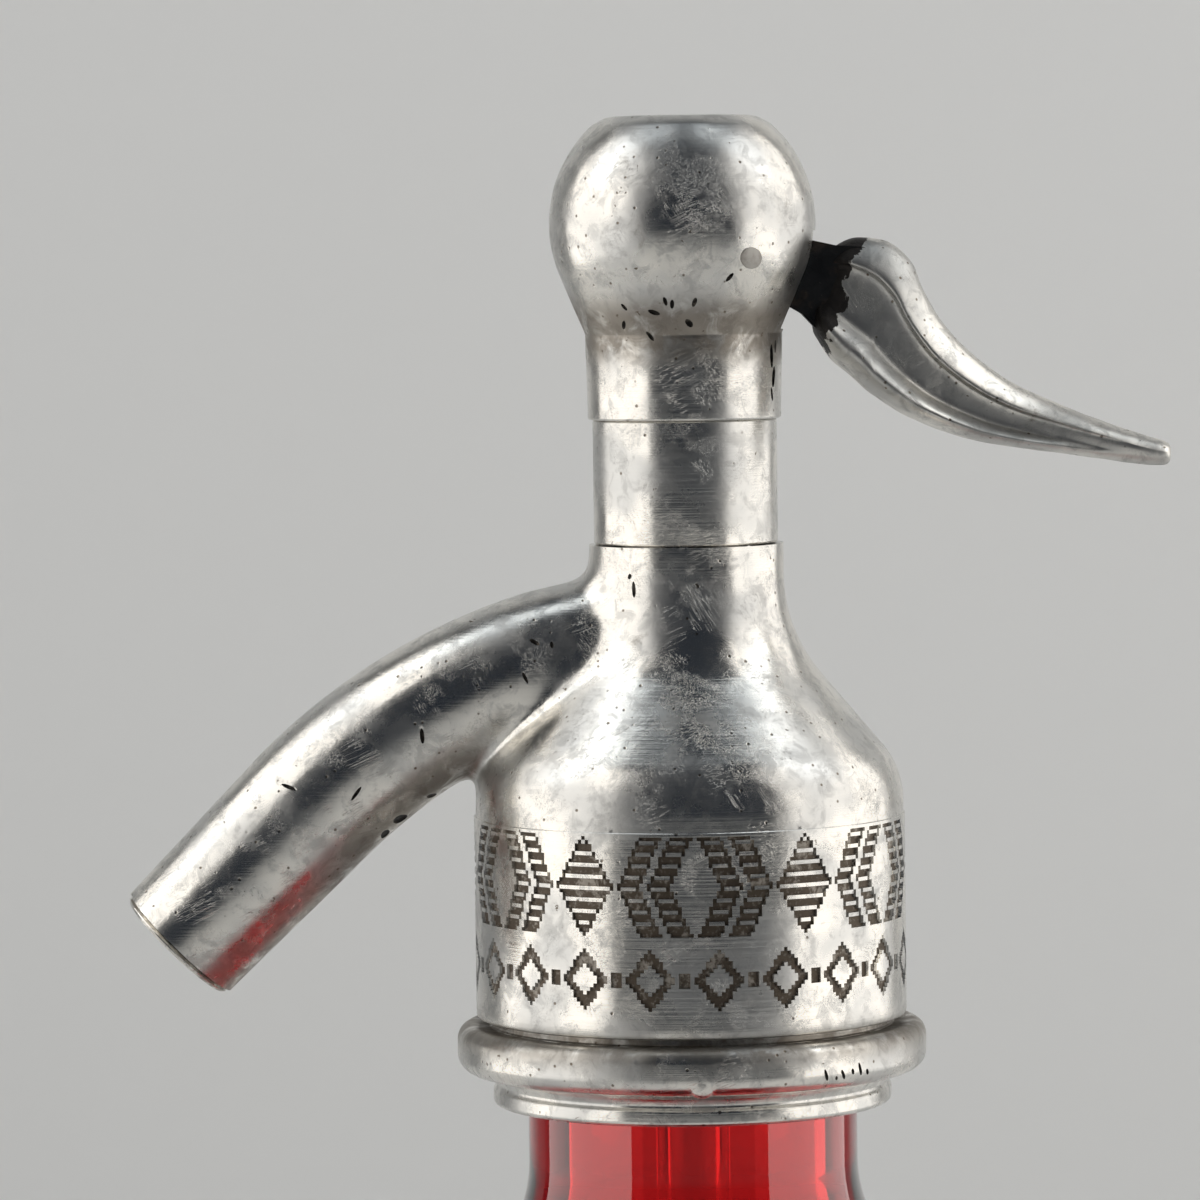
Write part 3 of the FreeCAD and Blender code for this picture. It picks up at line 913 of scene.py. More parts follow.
class Finishes:
    """Every material of the siphon, made once."""

    def __init__(self) -> None:
        """Makes the materials."""
        # The bell's downward-facing surfaces get brown patches: tarnish and painted shade.
        self.bell = Pewter("pewter_casting", downward_tarnish_and_shade=0.9, tarnish_share=0.8, pit_share=0.7).make()
        # Painted shade belt along the band's lower edge, where it meets the ring nut.
        self.band = Pewter("pewter_band", tarnish_share=0.2, pit_share=0.2, turned_marks=0.8,
                           tarnish_and_painted_light_belt=(223.8, 224.7)).make()
        # Painted shade belt on the ring nut, in the groove under the band.
        self.nut = Pewter("pewter_ring_nut", tarnish_share=0.9, pit_share=0.9,
                          tarnish_and_painted_light_belt=(222.8, 226.0)).make()
        self.sleeve = Pewter("pewter_sleeve", tarnish_share=0.4, pit_share=0.4,
                             turned_marks=0.9).make()
        # Brown belt on the ball's lower half: tarnish and a painted reflection of the table and
        # bottle.
        self.ball = Pewter("pewter_ball", pit_share=0.9, tarnish_share=0.9,
                           tarnish_and_painted_light_belt=(295.0, 300.5)).make()
        self.horn = Pewter("pewter_horn", dull=(0.52, 0.515, 0.495), worn=(0.34, 0.34, 0.33),
                           roughness=0.26, tarnish_share=1.0, pit_share=1.0, turned_marks=0.0,
                           over_iron="past_iron").make()
        self.ground = StruckGround("struck_ground").make()
        self.gouge = StruckGround("gouge_floor", dark=(0.02, 0.018, 0.016),
                                  pale=(0.14, 0.125, 0.105)).make()
        self.iron = BlackIron("black_iron").make()
        self.brass = TurnedMetal("turned_brass", (0.78, 0.56, 0.26), (0.42, 0.29, 0.13)).make()
        self.steel = TurnedMetal("spring_wire", (0.55, 0.54, 0.52), (0.3, 0.29, 0.28)).make()
        self.pin = TurnedMetal("filed_pin", (0.42, 0.40, 0.37), (0.2, 0.18, 0.16), 0.36).make()
        self.rubber = Packing("black_rubber", (0.03, 0.028, 0.027), (0.06, 0.056, 0.052),
                              grain=0.5, relief=0.02).make()
        self.leather = Packing("waxed_leather", (0.16, 0.085, 0.04), (0.27, 0.16, 0.085),
                               grain=0.35, relief=0.05).make()
        self.ruby = Glass("ruby_glass", (1.0, 0.42, 0.42), (0.88, 0.01, 0.03), density=290.0,
                          gloss=0.5).make()
        self.clear = Glass("clear_glass", (0.95, 0.98, 0.96), (1, 1, 1), density=0.0).make()


# ---- assemblies


@dataclass
class Assembly(ABC):
    """Part of the siphon whose pieces are built and dressed together."""

    finishes: Finishes

    @abstractmethod
    def build(self) -> None:
        """Builds the pieces and dresses them."""


# ---- bottle


@dataclass
class Bottle(Assembly):
    """Ruby glass bottle."""

    radius: float = 51.98
    wall: float = 4.5
    foot: float = 34.0
    heel: float = 7.0
    push_up: float = 7.0
    base: float = 9.0
    slope: float = 57.0
    shoulder_ease: float = 41.0
    neck_ease: float = 30.0
    neck: float = 17.6
    waist: float = 15.2
    bead: float = 17.8
    mouth: float = 14.8
    mouth_bore: float = 10.5
    waist_height: float = 2.6
    run_in: float = 1.8
    bead_above_nut: float = 13.0
    bead_height: float = 6.6
    bead_slope: float = 1.6
    lip_ease: float = 0.8
    dome_steps: int = 12
    facets: int = 224

    def outline(self) -> list[Point]:
        """Section of the glass, from the middle of the base up the outside and down again.

        Returns:
            The points, in millimetres.
        """
        top = top_of("bottle_shoulder")
        bead_top = bottom_of("ring_nut") + self.bead_above_nut
        bead_bottom = bead_top - self.bead_height
        waist_bottom = bead_bottom - self.waist_height
        neck_top = waist_bottom - self.run_in
        slope = math.radians(self.slope)
        throat = neck_top - self.neck_ease * math.tan(slope / 2)
        shoulder = throat - (self.radius - self.neck) / math.tan(slope)
        drop = self.wall * math.tan(slope / 2)
        inner, inner_neck = self.radius - self.wall, self.neck - self.wall
        lower, upper, lip = bead_bottom + self.bead_slope, bead_top - self.bead_slope, self.lip_ease
        dome = (self.foot ** 2 + self.push_up ** 2) / (2 * self.push_up)
        hollow = []
        for i in range(self.dome_steps + 1):
            r = self.foot * i / self.dome_steps
            hollow.append((r, self.push_up - dome + math.sqrt(dome ** 2 - r ** 2)))
        outside = eased([
            hollow[-1], (self.radius, 0, self.heel), (self.radius, shoulder, self.shoulder_ease),
            (self.neck, throat, self.neck_ease), (self.neck, neck_top, 0.6),
            (self.waist, waist_bottom, 0.5), (self.waist, bead_bottom, 0.5),
            (self.bead, lower, lip), (self.bead, upper, lip), (self.mouth, bead_top, lip),
            (self.mouth, top, lip), (self.mouth_bore, top, lip), (self.mouth_bore, lower, 2.0),
            (inner_neck, neck_top, 2.0), (inner_neck, throat - drop, self.neck_ease + self.wall),
            (inner, shoulder - drop, self.shoulder_ease - self.wall),
            (inner, self.base, self.heel), (self.foot, self.base, 4.0),
            (0, self.push_up + self.base)], closed=False, arc_step=5.0)
        return hollow[:-1] + outside

    def build(self) -> None:
        """Turns the glass and dresses it in place of the bottle's solids."""
        glass = turn_on_lathe("bottle_glass", self.outline(), self.facets, closed=False)
        smooth(glass, 50)
        dress(glass, Body.SIPHON, [self.finishes.ruby],
              ["bottle_body", "bottle_shoulder"])


# ---- ring nut


@dataclass
class RingNut(Assembly):
    """Ring nut with its rolled bead, hollow cove and thin foot rim."""

    bore: float = 18.6
    foot: float = 21.3
    foot_height: float = 1.6
    cove: float = 20.9
    bead: float = 25.1
    bead_height: float = 5.2
    shoulder: float = 8.4
    skirt: float = 21.4
    counterbore: float = 20.0
    shelf: float = 4.0
    dent_depth: float = 0.09
    dent_width: float = 2.2
    facets: int = 288
    nib_size: tuple[float, float, float] = (0.8, 1.55, 1.6)
    nib_azimuth: float = 1.5
    nib_height: float = 5.0
    chip_height: float = 5.1
    chipped_azimuths: tuple[float, ...] = (33.0, 36.0, 38.2, 41.0, 43.5, 46.0)

    def outline(self) -> list[Point]:
        """Section of the nut.

        Returns:
            The points, in millimetres.
        """
        bottom = bottom_of("ring_nut")
        top = top_of("ring_nut")
        shoulder = bottom + self.shoulder
        bead_bottom = shoulder + 0.4 - self.bead_height
        ease = self.bead_height / 2
        return eased([
            (self.bore, bottom, 0.4), (self.foot, bottom, 0.55),
            (self.foot, bottom + self.foot_height, 0.5),
            (self.cove, bottom + self.foot_height + 0.5, 0.6),
            (self.cove + 0.6, bead_bottom - 0.3, 1.2), (self.bead, bead_bottom, ease),
            (self.bead, bead_bottom + self.bead_height, ease), (self.skirt, shoulder, 0.3),
            (self.skirt, top, 0.4), (self.counterbore, top),
            (self.counterbore, bottom + self.shelf), (self.bore, bottom + self.shelf)],
            arc_step=7.0)

    def build(self) -> None:
        """Turns the nut, chips its bead and leaves the casting nib on it."""
        bottom = bottom_of("ring_nut")
        nut = turn_on_lathe("ring_nut_cast", self.outline(), self.facets)
        group_by(nut, "outside", lambda p: 1.0 if p.xy.length > self.skirt + 0.2 else 0.0)
        soften(nut, self.dent_depth, self.dent_width, "outside")
        angle = math.radians(self.nib_azimuth - 90)
        reach = self.bead - 0.05 - self.nib_size[0]
        clear()
        bpy.ops.mesh.primitive_uv_sphere_add(segments=24, ring_count=12, radius=1)
        bpy.ops.transform.resize(value=[size * MM for size in self.nib_size])
        nib = settle("nib")
        nib.rotation_euler = (0, 0, angle)
        nib.location = (reach * math.cos(angle) * MM, reach * math.sin(angle) * MM,
                        (bottom + self.nib_height) * MM)
        hold(nib)
        bpy.ops.object.transform_apply(location=True, rotation=True, scale=True)
        combine(nut, nib, Joining.JOIN)
        nut.data.materials.append(self.finishes.nut)
        for i, azimuth in enumerate(self.chipped_azimuths):
            mark = Gouge.turned(
                azimuth, bottom + self.chip_height + 0.35 * math.sin(5 * i), self.bead + 0.05,
                width=0.45, length=1.3 + 0.6 * math.cos(3 * i), depth=0.3,
                lean=18 + 6 * math.sin(4 * i))
            mark.carve(nut, self.finishes.gouge)
        smooth(nut, 40)
        dress(nut, Body.SIPHON, [self.finishes.nut, self.finishes.gouge], ["ring_nut"])


# ---- head casting


ARROW_ARM = 6  # width of an arrow's arm in cells
RIM_STEPS = ((1, 0), (-1, 0), (0, 1), (0, -1))
CORE_STEPS = ((2, 0), (-2, 0), (0, 2), (0, -2), (0, 4), (0, -4))


class Motif(Enum):
    """Shapes that are struck into the band."""

    LOZENGE = "lozenge"
    ARROW_RIGHT = "arrow right"
    ARROW_LEFT = "arrow left"
    BEAD = "bead"

    def covers(self, cell: tuple[int, int], field: tuple[int, int]) -> bool:
        """Tells whether a cell is inside the motif's stepped outline.

        Args:
            cell: column and row of the cell.
            field: width and height of the motif's field in cells.

        Returns:
            True if the cell is inside.
        """
        (column, row), (columns, rows) = cell, field
        if not (0 <= column < columns and 0 <= row < rows):
            return False
        across = abs(column + 0.5 - columns / 2) / (columns / 2)
        up = abs(row + 0.5 - rows / 2) / (rows / 2)
        if self is Motif.LOZENGE:
            return across + 0.92 * up <= 1.0
        if self is Motif.BEAD:
            return up < 0.24
        lead = round((columns - ARROW_ARM) * (1 - up))
        start = lead if self is Motif.ARROW_RIGHT else columns - ARROW_ARM - lead
        return start <= column < start + ARROW_ARM

    def sunk(self, cell: tuple[int, int], field: tuple[int, int], hatch: int) -> bool:
        """Tells whether a cell is struck down.

        Args:
            cell: column and row of the cell.
            field: width and height of the motif's field in cells.
            hatch: rows from one standing rung to the next, or 0 for a standing core.

        Returns:
            True if the cell is struck down; the rim all round always is.
        """
        def inside(steps: Sequence[tuple[int, int]]) -> bool:
            """Tells whether the cells at all these steps are inside."""
            return all(self.covers((cell[0] + a, cell[1] + b), field) for a, b in steps)

        if not self.covers(cell, field):
            return False
        if hatch == 0:
            return not inside(CORE_STEPS)
        return not inside(RIM_STEPS) or cell[1] % hatch != 0


@dataclass(frozen=True)
class FriezeRow:
    """One row of motifs: (motif, first cell, width in cells) repeated round the band."""

    bottom: float
    rows: int
    period: int
    motifs: tuple[tuple[Motif, int, int], ...]
    hatch: int
    depth: float

    def sunk(self, column: int, row: int) -> bool:
        """Tells whether a cell of the band is struck down.

        Args:
            column: cell round the band.
            row: cell up the row.

        Returns:
            True if the cell is struck down.
        """
        place = column % self.period
        for motif, first, width in self.motifs:
            if motif.sunk((place - first, row), (width, self.rows), self.hatch):
                return True
        return False


@dataclass
class HeadCasting(Assembly):
    """Pewter head: stamped band, bell, neck and curved spout, with the socket for its nozzle."""

    band: float = 23.0
    band_bore: float = 21.4
    band_height: float = 21.5
    ledge: float = 0.12
    cell: float = 0.4
    columns: int = 360
    strike: float = 0.34
    draft: float = 0.07
    bell_corner: float = 4.6
    bell_rise: float = 14.9
    bell_ease: float = 9.0
    throat_ease: float = 21.0
    neck: float = 10.4
    overrun: float = 3.0
    spout: float = 7.9
    spout_tip: float = 7.45
    bore: float = 3.2
    crossing: float = 10.2
    dip: float = 2.2
    bend_radius: float = 60.3
    bend: float = 42.8
    straight: float = 20.2
    socket: float = 4.75
    socket_depth: float = 11.0
    chamber: float = 5.5
    counterbore: float = 7.75
    blend_reach: float = 6.0
    blend_steps: int = 150
    blend_grip: float = 1.6
    bell_slant: float = 0.85
    tip_ease: float = 1.0
    tip_land: float = 0.6
    voxel: float = 0.4
    lump_depth: float = 0.05
    lump_width: float = 5.0
    bell_facets: int = 256
    spout_facets: int = 128
    bore_facets: int = 64
    bend_steps: int = 36
    straight_steps: int = 12
    holder_bore: float = 6.25
    tube_bore: float = 4.05
    way_bore: float = 2.5
    boss_height: float = 2.5

    def __post_init__(self) -> None:
        """Works out the bell's side once, for the weighing of its vertices."""
        self._bell_sides = self.bell_outline()[1:-1]

    def friezes(self) -> tuple[FriezeRow, FriezeRow]:
        """Lays out the two rows of the frieze.

        Returns:
            The low row and the tall row above it.
        """
        bottom = bottom_of("head_casting")
        low = FriezeRow(
            bottom + 3.0, rows=16, period=18, hatch=0, depth=0.85 * self.strike,
            motifs=((Motif.LOZENGE, 0, 13), (Motif.BEAD, 14, 3)))
        tall = FriezeRow(
            bottom + 10.7, rows=26, period=60, hatch=3, depth=self.strike, motifs=(
                (Motif.ARROW_RIGHT, 1, 12), (Motif.ARROW_RIGHT, 9, 12), (Motif.LOZENGE, 22, 17),
                (Motif.ARROW_LEFT, 40, 12), (Motif.ARROW_LEFT, 48, 12)))
        return low, tall

    def build_band(self) -> None:
        """Turns the band cell by cell and strikes the friezes into it."""
        bottom = bottom_of("head_casting")
        top = bottom + self.band_height
        low, tall = self.friezes()
        side, low_top = self.band, low.bottom + low.rows * self.cell
        tall_top = tall.bottom + tall.rows * self.cell
        outline = [(self.band_bore, bottom), (side - 0.4, bottom), (side - 0.12, bottom + 0.12)]
        for start, end, rungs in ((bottom + 0.4, low.bottom, 4), (low.bottom, low_top, low.rows),
                                  (low_top, tall.bottom, 3), (tall.bottom, tall_top, tall.rows)):
            outline += ladder((side, start), (side, end), rungs)
        outline += [(side, tall_top), (side, top - 0.08), (side - 0.08, top), (self.band_bore, top)]
        band = turn_on_lathe("head_band", outline, self.columns)
        band.data.materials.append(self.finishes.band)
        band.data.materials.append(self.finishes.ground)
        hold(band)
        edit("FACE")
        for row in (low, tall):
            self._strike(band, row)
        settle("head_band")
        smooth(band, 28)
        dress(band, Body.SIPHON, [self.finishes.band, self.finishes.ground],
              ["head_casting"])

    def _strike(self, band: Piece, row: FriezeRow) -> None:
        """Sinks the cells of one frieze row.

        Args:
            band: band in edit mode.
            row: frieze row.
        """
        bpy.ops.mesh.select_all(action="DESELECT")
        mesh = bmesh.from_edit_mesh(band.data)
        for face in mesh.faces:
            centre = face.calc_center_median() / MM
            if centre.xy.length < self.band - 0.02 or abs(face.normal.z) > 0.2:
                continue
            turn = (math.atan2(centre.y, centre.x) + math.pi / 2) % math.tau
            column = int(turn / math.tau * self.columns)
            place = (centre.z - row.bottom) / self.cell
            if 0 <= place < row.rows and row.sunk(column, int(place)):
                face.select_set(True)
        bmesh.update_edit_mesh(band.data)
        bpy.ops.mesh.inset(thickness=self.draft * MM, depth=-row.depth * MM, use_even_offset=True)
        bpy.context.object.active_material_index = 1
        bpy.ops.object.material_slot_assign()

    def _bend_centre(self) -> Vector:
        """Centre of the spout's bend.

        Returns:
            The centre, in millimetres.
        """
        dip = math.radians(self.dip)
        start = top_of("head_casting") - self.crossing
        reach = self.bend_radius
        return Vector((reach * math.sin(dip), 0, start - reach * math.cos(dip)))

    def _bend_end(self) -> Vector:
        """Where the bend runs out into the straight.

        Returns:
            The middle of the rod there, in millimetres.
        """
        angle = math.radians(self.dip + self.bend)
        spoke = Vector((-math.sin(angle), 0, math.cos(angle)))
        return self._bend_centre() + spoke * self.bend_radius

    def _heading(self) -> Vector:
        """Way that the water leaves."""
        angle = math.radians(self.dip + self.bend)
        return Vector((-math.cos(angle), 0, -math.sin(angle)))

    def spout_rod(self, name: str, radius: float, tip: float, extra: float, facets: int) -> Piece:
        """Round rod along the spout.

        Args:
            name: name of the piece.
            radius: radius at the root and round the bend.
            tip: radius at the tip.
            extra: how far it runs on past the tip.
            facets: faces round the rod.

        Returns:
            The closed rod.
        """
        centre = self._bend_centre()
        start = top_of("head_casting") - self.crossing
        clear()
        bpy.ops.mesh.primitive_circle_add(
            vertices=facets, radius=radius * MM, fill_type="NGON", location=(0, 0, start * MM),
            rotation=(0, -math.radians(90 + self.dip), 0))
        settle(name)
        edit()
        pick_all()
        for _ in range(self.bend_steps):
            bpy.ops.mesh.extrude_region_move()
            bpy.ops.transform.rotate(value=math.radians(self.bend) / self.bend_steps,
                                     orient_axis="Y", center_override=centre * MM)
        here, size = self._bend_end(), radius
        for i in range(1, self.straight_steps + 1):
            length = self.straight / self.straight_steps
            stride = self._heading() * (length + (extra if i == self.straight_steps else 0))
            here = here + stride
            bpy.ops.mesh.extrude_region_move(TRANSFORM_OT_translate={"value": stride * MM})
            wanted = radius + (tip - radius) * i / self.straight_steps
            bpy.ops.transform.resize(value=(wanted / size,) * 3, center_override=here * MM)
            size = wanted
        return close_up(name)

    def bell_outline(self) -> list[Point]:
        """Outer form of the bell and neck, run on past both ends.

        Returns:
            The points, in millimetres.
        """
        bottom = bottom_of("head_casting") + self.band_height
        top = top_of("head_casting")
        corner = bottom + self.bell_corner
        wide = self.band - self.ledge
        return eased([
            (0, bottom - self.overrun), (wide, bottom - self.overrun),
            (wide, corner, self.bell_ease), (self.neck, corner + self.bell_rise, self.throat_ease),
            (self.neck, top + self.overrun), (0, top + self.overrun)], closed=False, arc_step=3.0)

    def _bell_radius(self, level: float) -> float:
        """Radius of the bell at a level, by its outline.

        Args:
            level: height above the table, in millimetres.

        Returns:
            The radius, in millimetres.
        """
        points = self._bell_sides
        for (r0, z0), (r1, z1) in zip(points, points[1:]):
            if z0 <= level <= z1 and z1 > z0:
                return r0 + (r1 - r0) * (level - z0) / (z1 - z0)
        return self.neck

    def _off_spout(self, place: Vector) -> float:
        """Distance of a place from the spout's surface.

        Args:
            place: in millimetres.

        Returns:
            The distance, in millimetres; below zero inside.
        """
        centre = self._bend_centre()
        spoke = Vector((place.x - centre.x, place.z - centre.z))
        angle = math.degrees(math.atan2(-spoke.x, spoke.y))
        if angle <= self.dip + self.bend:
            return math.hypot(spoke.length - self.bend_radius, place.y) - self.spout
        end, way = self._bend_end(), self._heading()
        along = (place - end).dot(way)
        return (place - end - way * along).length - self.spout

    def blend_weight(self, place: Vector) -> float:
        """How much of the cast fillet a place of the surface belongs to.

        Args:
            place: in millimetres.

        Returns:
            The share, from 0 to 1.
        """
        if place.x > 0:
            return 0.0
        off_bell = abs(place.xy.length - self._bell_radius(place.z)) * self.bell_slant
        off = max(off_bell, abs(self._off_spout(place)))
        return max(0.0, min(1.0, self.blend_grip * (1 - off / self.blend_reach)))

    def build_bell(self) -> None:
        """Joins bell and spout, melts the joint into a cast fillet and bores it out."""
        bottom = bottom_of("head_casting") + self.band_height
        top = top_of("head_casting")
        tip = self._tip()
        bell = turn_on_lathe("head_bell", self.bell_outline(), self.bell_facets, closed=False)
        rod = self.spout_rod("spout_form", self.spout, self.spout_tip, self.overrun,
                             self.spout_facets)
        combine(bell, rod, Joining.JOIN, exact=True)
        hold(bell)
        bpy.ops.object.duplicate()
        true_form = bpy.context.object
        apply_modifier(bell, "REMESH", mode="VOXEL", voxel_size=self.voxel * MM)
        group_by(bell, "fillet", self.blend_weight)
        group_by(bell, "true", lambda p: 1.0 - self.blend_weight(p))
        apply_modifier(bell, "SHRINKWRAP", target=true_form, wrap_method="NEAREST_SURFACEPOINT",
                       vertex_group="true")
        apply_modifier(bell, "SMOOTH", factor=0.5, iterations=self.blend_steps,
                       vertex_group="fillet")
        bpy.data.objects.remove(true_form)
        soften(bell, self.lump_depth, self.lump_width, pattern=Unevenness.LUMPS)
        hold(bell)
        edit()
        planes = ((Vector((0, 0, top)), Vector((0, 0, 1))), (tip, self._heading()))
        for place, way in planes:
            pick_all()
            bpy.ops.mesh.bisect(plane_co=place * MM, plane_no=way, use_fill=True, clear_outer=True)
        settle("head_bell")
        for tool in self.hollows():
            combine(bell, tool)
        self._ease_tip(bell)
        bell.data.materials.clear()
        bell.data.materials.append(self.finishes.bell)
        for gouge in self.gouges():
            gouge.carve(bell, self.finishes.gouge)
        smooth(bell, 40)
        dress(bell, Body.SIPHON, [self.finishes.bell, self.finishes.gouge])

    def _tip(self) -> Vector:
        """Centre of the spout's end."""
        return self._bend_end() + self._heading() * self.straight

    def _ease_tip(self, bell: Piece) -> None:
        """Rounds the outer edge of the spout's end.

        Args:
            bell: the bored casting.
        """
        tip, way = self._tip(), self._heading()

        def edge(place: Vector) -> float:
            """Tells the outer edge of the end from the rest.

            Args:
                place: in millimetres.

            Returns:
                One on the edge, zero elsewhere.
            """
            off = place - tip
            along = -off.dot(way)
            out = (off + way * along).length
            return float(out > self.socket + self.tip_land and along < self.tip_ease)

        group_by(bell, "tip", edge)
        apply_modifier(bell, "SMOOTH", factor=0.5, iterations=6, vertex_group="tip")

    def gouges(self) -> list[Gouge]:
        """Marks on the neck and along the spout.

        Returns:
            The gouges.
        """
        near = self.neck + 0.05
        marks = [
            Gouge.turned(-33.0, 270.3, near, width=0.5, length=2.0, depth=0.16, lean=5),
            Gouge.turned(-36.0, 271.6, near, width=0.7, length=0.9, depth=0.14, lean=-30)]
        along_spout = (
            (17.0, 68.0, 0.5, 1.4, 60), (15.5, 74.0, 0.5, 1.0, 10), (19.0, 92.0, 0.45, 1.7, 25),
            (31.0, 98.0, 0.5, 1.8, 5), (40.0, 104.0, 0.4, 1.9, -35), (44.5, 64.0, 0.45, 2.0, 70),
            (38.5, 156.0, 1.5, 2.6, 80), (41.0, 160.0, 1.2, 2.4, 60), (34.0, 158.0, 0.9, 2.2, 85))
        for bend, roll, width, length, lean in along_spout:
            place, outward = self._on_spout(bend, roll)
            marks.append(Gouge(place, outward, width, length, 0.22, lean))
        return marks

    def _on_spout(self, bend: float, roll: float) -> tuple[Vector, Vector]:
        """Place on the bend of the spout.

        Args:
            bend: degrees along the bend, from upright.
            roll: degrees round the spout, from its back over the front to its belly.

        Returns:
            The place and the way out of the metal.
        """
        angle, round_it = math.radians(bend), math.radians(roll)
        back = Vector((-math.sin(angle), 0, math.cos(angle)))
        outward = back * math.cos(round_it) + Vector((0, -math.sin(round_it), 0))
        return self._bend_centre() + back * self.bend_radius + outward * self.spout, outward

    def hollows(self) -> list[Piece]:
        """Tools for the threaded mouth, the valve chamber and the water way.

        Returns:
            The tools.
        """
        band_top = bottom_of("head_casting") + self.band_height
        top, wide = top_of("head_casting"), self.band + 2
        boss = bottom_of("tube_holder") + self.boss_height
        seal, tube = top_of("tube_seal"), top_of("dip_tube")
        floor, roof = bottom_of("valve_seat"), bottom_of("sleeve_washer")
        under = turn_on_lathe("under", [
            (0, band_top - 2 * self.overrun), (wide, band_top - 2 * self.overrun),
            (wide, band_top), (0, band_top)], self.bore_facets, closed=False)
        core = turn_on_lathe("core", [
            (0, boss - 1), (self.holder_bore, boss - 1), (self.holder_bore, seal),
            (self.tube_bore, seal), (self.tube_bore, tube), (self.way_bore, tube),
            (self.way_bore, floor), (self.chamber, floor), (self.chamber, roof),
            (self.counterbore, roof), (self.counterbore, top + 1), (0, top + 1)],
            self.bore_facets, closed=False)
        bore = self.spout_rod("bore", self.bore, self.bore, 1.0, 32)
        socket = cylinder("socket", self.socket, 2 * self.socket_depth, self._tip() * MM,
                          self._heading().to_track_quat("Z", "Y").to_euler())
        return [under, core, bore, socket]

    def build(self) -> None:
        """Builds both pieces of the casting."""
        self.build_band()
        self.build_bell()


# ---- spring sleeve and ball cap


@dataclass
class SpringSleeve(Assembly):
    """Plain sleeve between the two seams."""

    radius: float = 9.8
    spigot: float = 7.7
    bore: float = 5.5
    guide: float = 6.4
    cap_spigot: float = 8.2
    cap_spigot_height: float = 4.0
    guide_height: float = 2.5
    facets: int = 160

    def build(self) -> None:
        """Turns the sleeve."""
        low = bottom_of("spring_sleeve")
        bottom, top = top_of("head_casting"), bottom_of("ball_cap")
        end = top + self.cap_spigot_height
        outline = eased([
            (self.bore, low), (self.spigot, low, 0.3), (self.spigot, bottom),
            (self.radius, bottom, 0.28), (self.radius, top, 0.28), (self.cap_spigot, top),
            (self.cap_spigot, end, 0.4), (self.guide, end), (self.guide, top - self.guide_height),
            (self.bore, top - self.guide_height)], arc_step=15)
        sleeve = turn_on_lathe("sleeve_turned", outline, self.facets)
        smooth(sleeve, 40)
        dress(sleeve, Body.SIPHON, [self.finishes.sleeve], ["spring_sleeve"])


